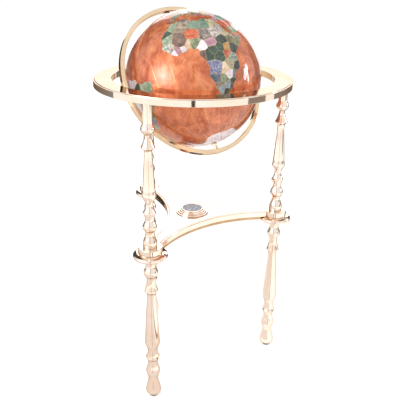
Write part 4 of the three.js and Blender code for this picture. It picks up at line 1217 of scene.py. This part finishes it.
def curved_card(name, left, right, lowest, highest, distance, material):
    """A card bent round the globe, between two bearings from the camera's and two elevations."""
    bm = bmesh.new()
    across, up = 24, 8
    rows = []
    for j in range(up + 1):
        elevation = math.radians(lowest + (highest - lowest) * j / up)
        row = []
        for i in range(across + 1):
            azimuth = math.radians(CAMERA_BEARING + left + (right - left) * i / across)
            away = Vector((math.cos(azimuth) * math.cos(elevation), math.sin(azimuth) * math.cos(elevation),
                           math.sin(elevation)))
            row.append(bm.verts.new(BALL_MIDDLE + away * distance))
        rows.append(row)
    for below, above in zip(rows, rows[1:]):
        for i in range(across):
            bm.faces.new((below[i], below[i + 1], above[i + 1], above[i]))
    card(name, bm, material)


def floor_card(name, centre, left, right, near, far, material):
    """A card lying on the floor: part of a ring round the centre, between two bearings."""
    bm = bmesh.new()
    steps = 12
    corners = []
    for radius, order in ((near, range(steps + 1)), (far, range(steps, -1, -1))):
        for i in order:
            azimuth = math.radians(CAMERA_BEARING + left + (right - left) * i / steps)
            corners.append(bm.verts.new((centre.x + radius * math.cos(azimuth),
                                         centre.y + radius * math.sin(azimuth), -0.0003)))
    bm.faces.new(corners)
    card(name, bm, material)


def floor_paper():
    """White paper, lit brightly enough to print white."""
    material = studio_finish("floor_paper", (0.92, 0.91, 0.9, 1))
    tree = material.node_tree
    paper = next(node for node in tree.nodes if node.type == "BSDF_DIFFUSE")
    output = next(node for node in tree.nodes if node.type == "OUTPUT_MATERIAL")
    glow = tree.nodes.new("ShaderNodeEmission")
    glow.inputs["Strength"].default_value = 0.12
    both = tree.nodes.new("ShaderNodeAddShader")
    tree.links.new(paper.outputs[0], both.inputs[0])
    tree.links.new(glow.outputs[0], both.inputs[1])
    tree.links.new(both.outputs[0], output.inputs["Surface"])
    return material


def floor():
    mesh = bpy.data.meshes.new("studio_floor")
    bm = bmesh.new()
    bmesh.ops.create_grid(bm, x_segments=1, y_segments=1, size=12)
    bm.to_mesh(mesh)
    bm.free()
    mesh.materials.append(floor_paper())
    obj = bpy.data.objects.new("studio_floor", mesh)
    obj.location.z = -0.0005
    bpy.context.scene.collection.objects.link(obj)


def sun_lamp(name, azimuth, elevation, size, power, colour):
    """A large soft lamp aimed at the ball."""
    data = bpy.data.lights.new(name, "AREA")
    data.size = size
    data.energy = power
    data.color = colour
    obj = bpy.data.objects.new(name, data)
    azimuth, elevation = math.radians(azimuth), math.radians(elevation)
    away = Vector((math.cos(azimuth) * math.cos(elevation), math.sin(azimuth) * math.cos(elevation),
                   math.sin(elevation)))
    facing = away.to_track_quat("Z", "Y").to_matrix().to_4x4()
    obj.matrix_world = Matrix.Translation(BALL_MIDDLE + away * 3) @ facing
    obj.visible_glossy = False
    bpy.context.scene.collection.objects.link(obj)


world = bpy.data.worlds.new("studio")
world.use_nodes = True
world.node_tree.nodes["Background"].inputs["Color"].default_value = (1, 0.99, 0.985, 1)
world.node_tree.nodes["Background"].inputs["Strength"].default_value = 1.0
bpy.context.scene.world = world
bpy.context.scene.view_settings.view_transform = "Standard"

floor()
sun_lamp("key", CAMERA_BEARING - 40, 45, 2.0, 45, (1, 0.98, 0.96))
sun_lamp("fill", CAMERA_BEARING + 60, 40, 2.5, 20, (1, 1, 1))
DARK_CARD = studio_finish("dark_card", (0.30, 0.26, 0.24, 1), 0.25)
GREY_CARD = studio_finish("grey_card", (0.52, 0.46, 0.42, 1), 0.55)
BROWN_CARD = studio_finish("brown_card", (0.62, 0.5, 0.42, 1), 0.6)
BLUSH_CARD = studio_finish("blush_card", (1, 0.93, 0.9, 1), 0.96)
WHITE_CARD = studio_finish("white_card", (0.965, 0.945, 1, 1), 2.3)
panel("glow_left", CAMERA_BEARING - 51, 13, 2.2, 2.5, 2.0,
      studio_finish("soft_glow", (1, 0.93, 0.88, 1), 16, soft_edge=True))
panel("strip_right", CAMERA_BEARING + 99.5, 6, 2.4, 0.16, 0.8,
      studio_finish("strip_glow", (1, 0.95, 0.95, 1), 12))
panel("dark_slot", CAMERA_BEARING, 4, 2.2, 0.16, 2.6, DARK_CARD)
curved_card("white_backdrop", 140, 220, -3, 35, 3.4, WHITE_CARD)
curved_card("dark_wing_left", -158, -120, -2, 38, 3.0, DARK_CARD)
curved_card("grey_wing_left", -158, -96, -15, -2, 3.0, GREY_CARD)
curved_card("dark_wing_right", 124, 148, -2, 24, 3.0, DARK_CARD)
curved_card("grey_wing_right", 98, 150, -15, -2, 3.0, GREY_CARD)
curved_card("grey_patch_right", 60, 84, -15, -2, 3.0, GREY_CARD)
curved_card("dark_corner_right", 140, 166, 24, 33, 2.9, DARK_CARD)
curved_card("dark_ceiling", 125, 235, 38, 62, 3.0, DARK_CARD)
for leg in ("left", "right"):
    floor_card("blush_floor_" + leg, LEG_PLACE[leg], -118, -8, 0.08, 1.6, BLUSH_CARD)
    floor_card("brown_path_" + leg, LEG_PLACE[leg], -4, 4, 0.1, 1.3, BROWN_CARD)
floor_card("dark_floor_left", BALL_MIDDLE, -156, -122, 0.9, 2.6, DARK_CARD)
floor_card("dark_floor_right", BALL_MIDDLE, 118, 156, 0.62, 2.6, DARK_CARD)
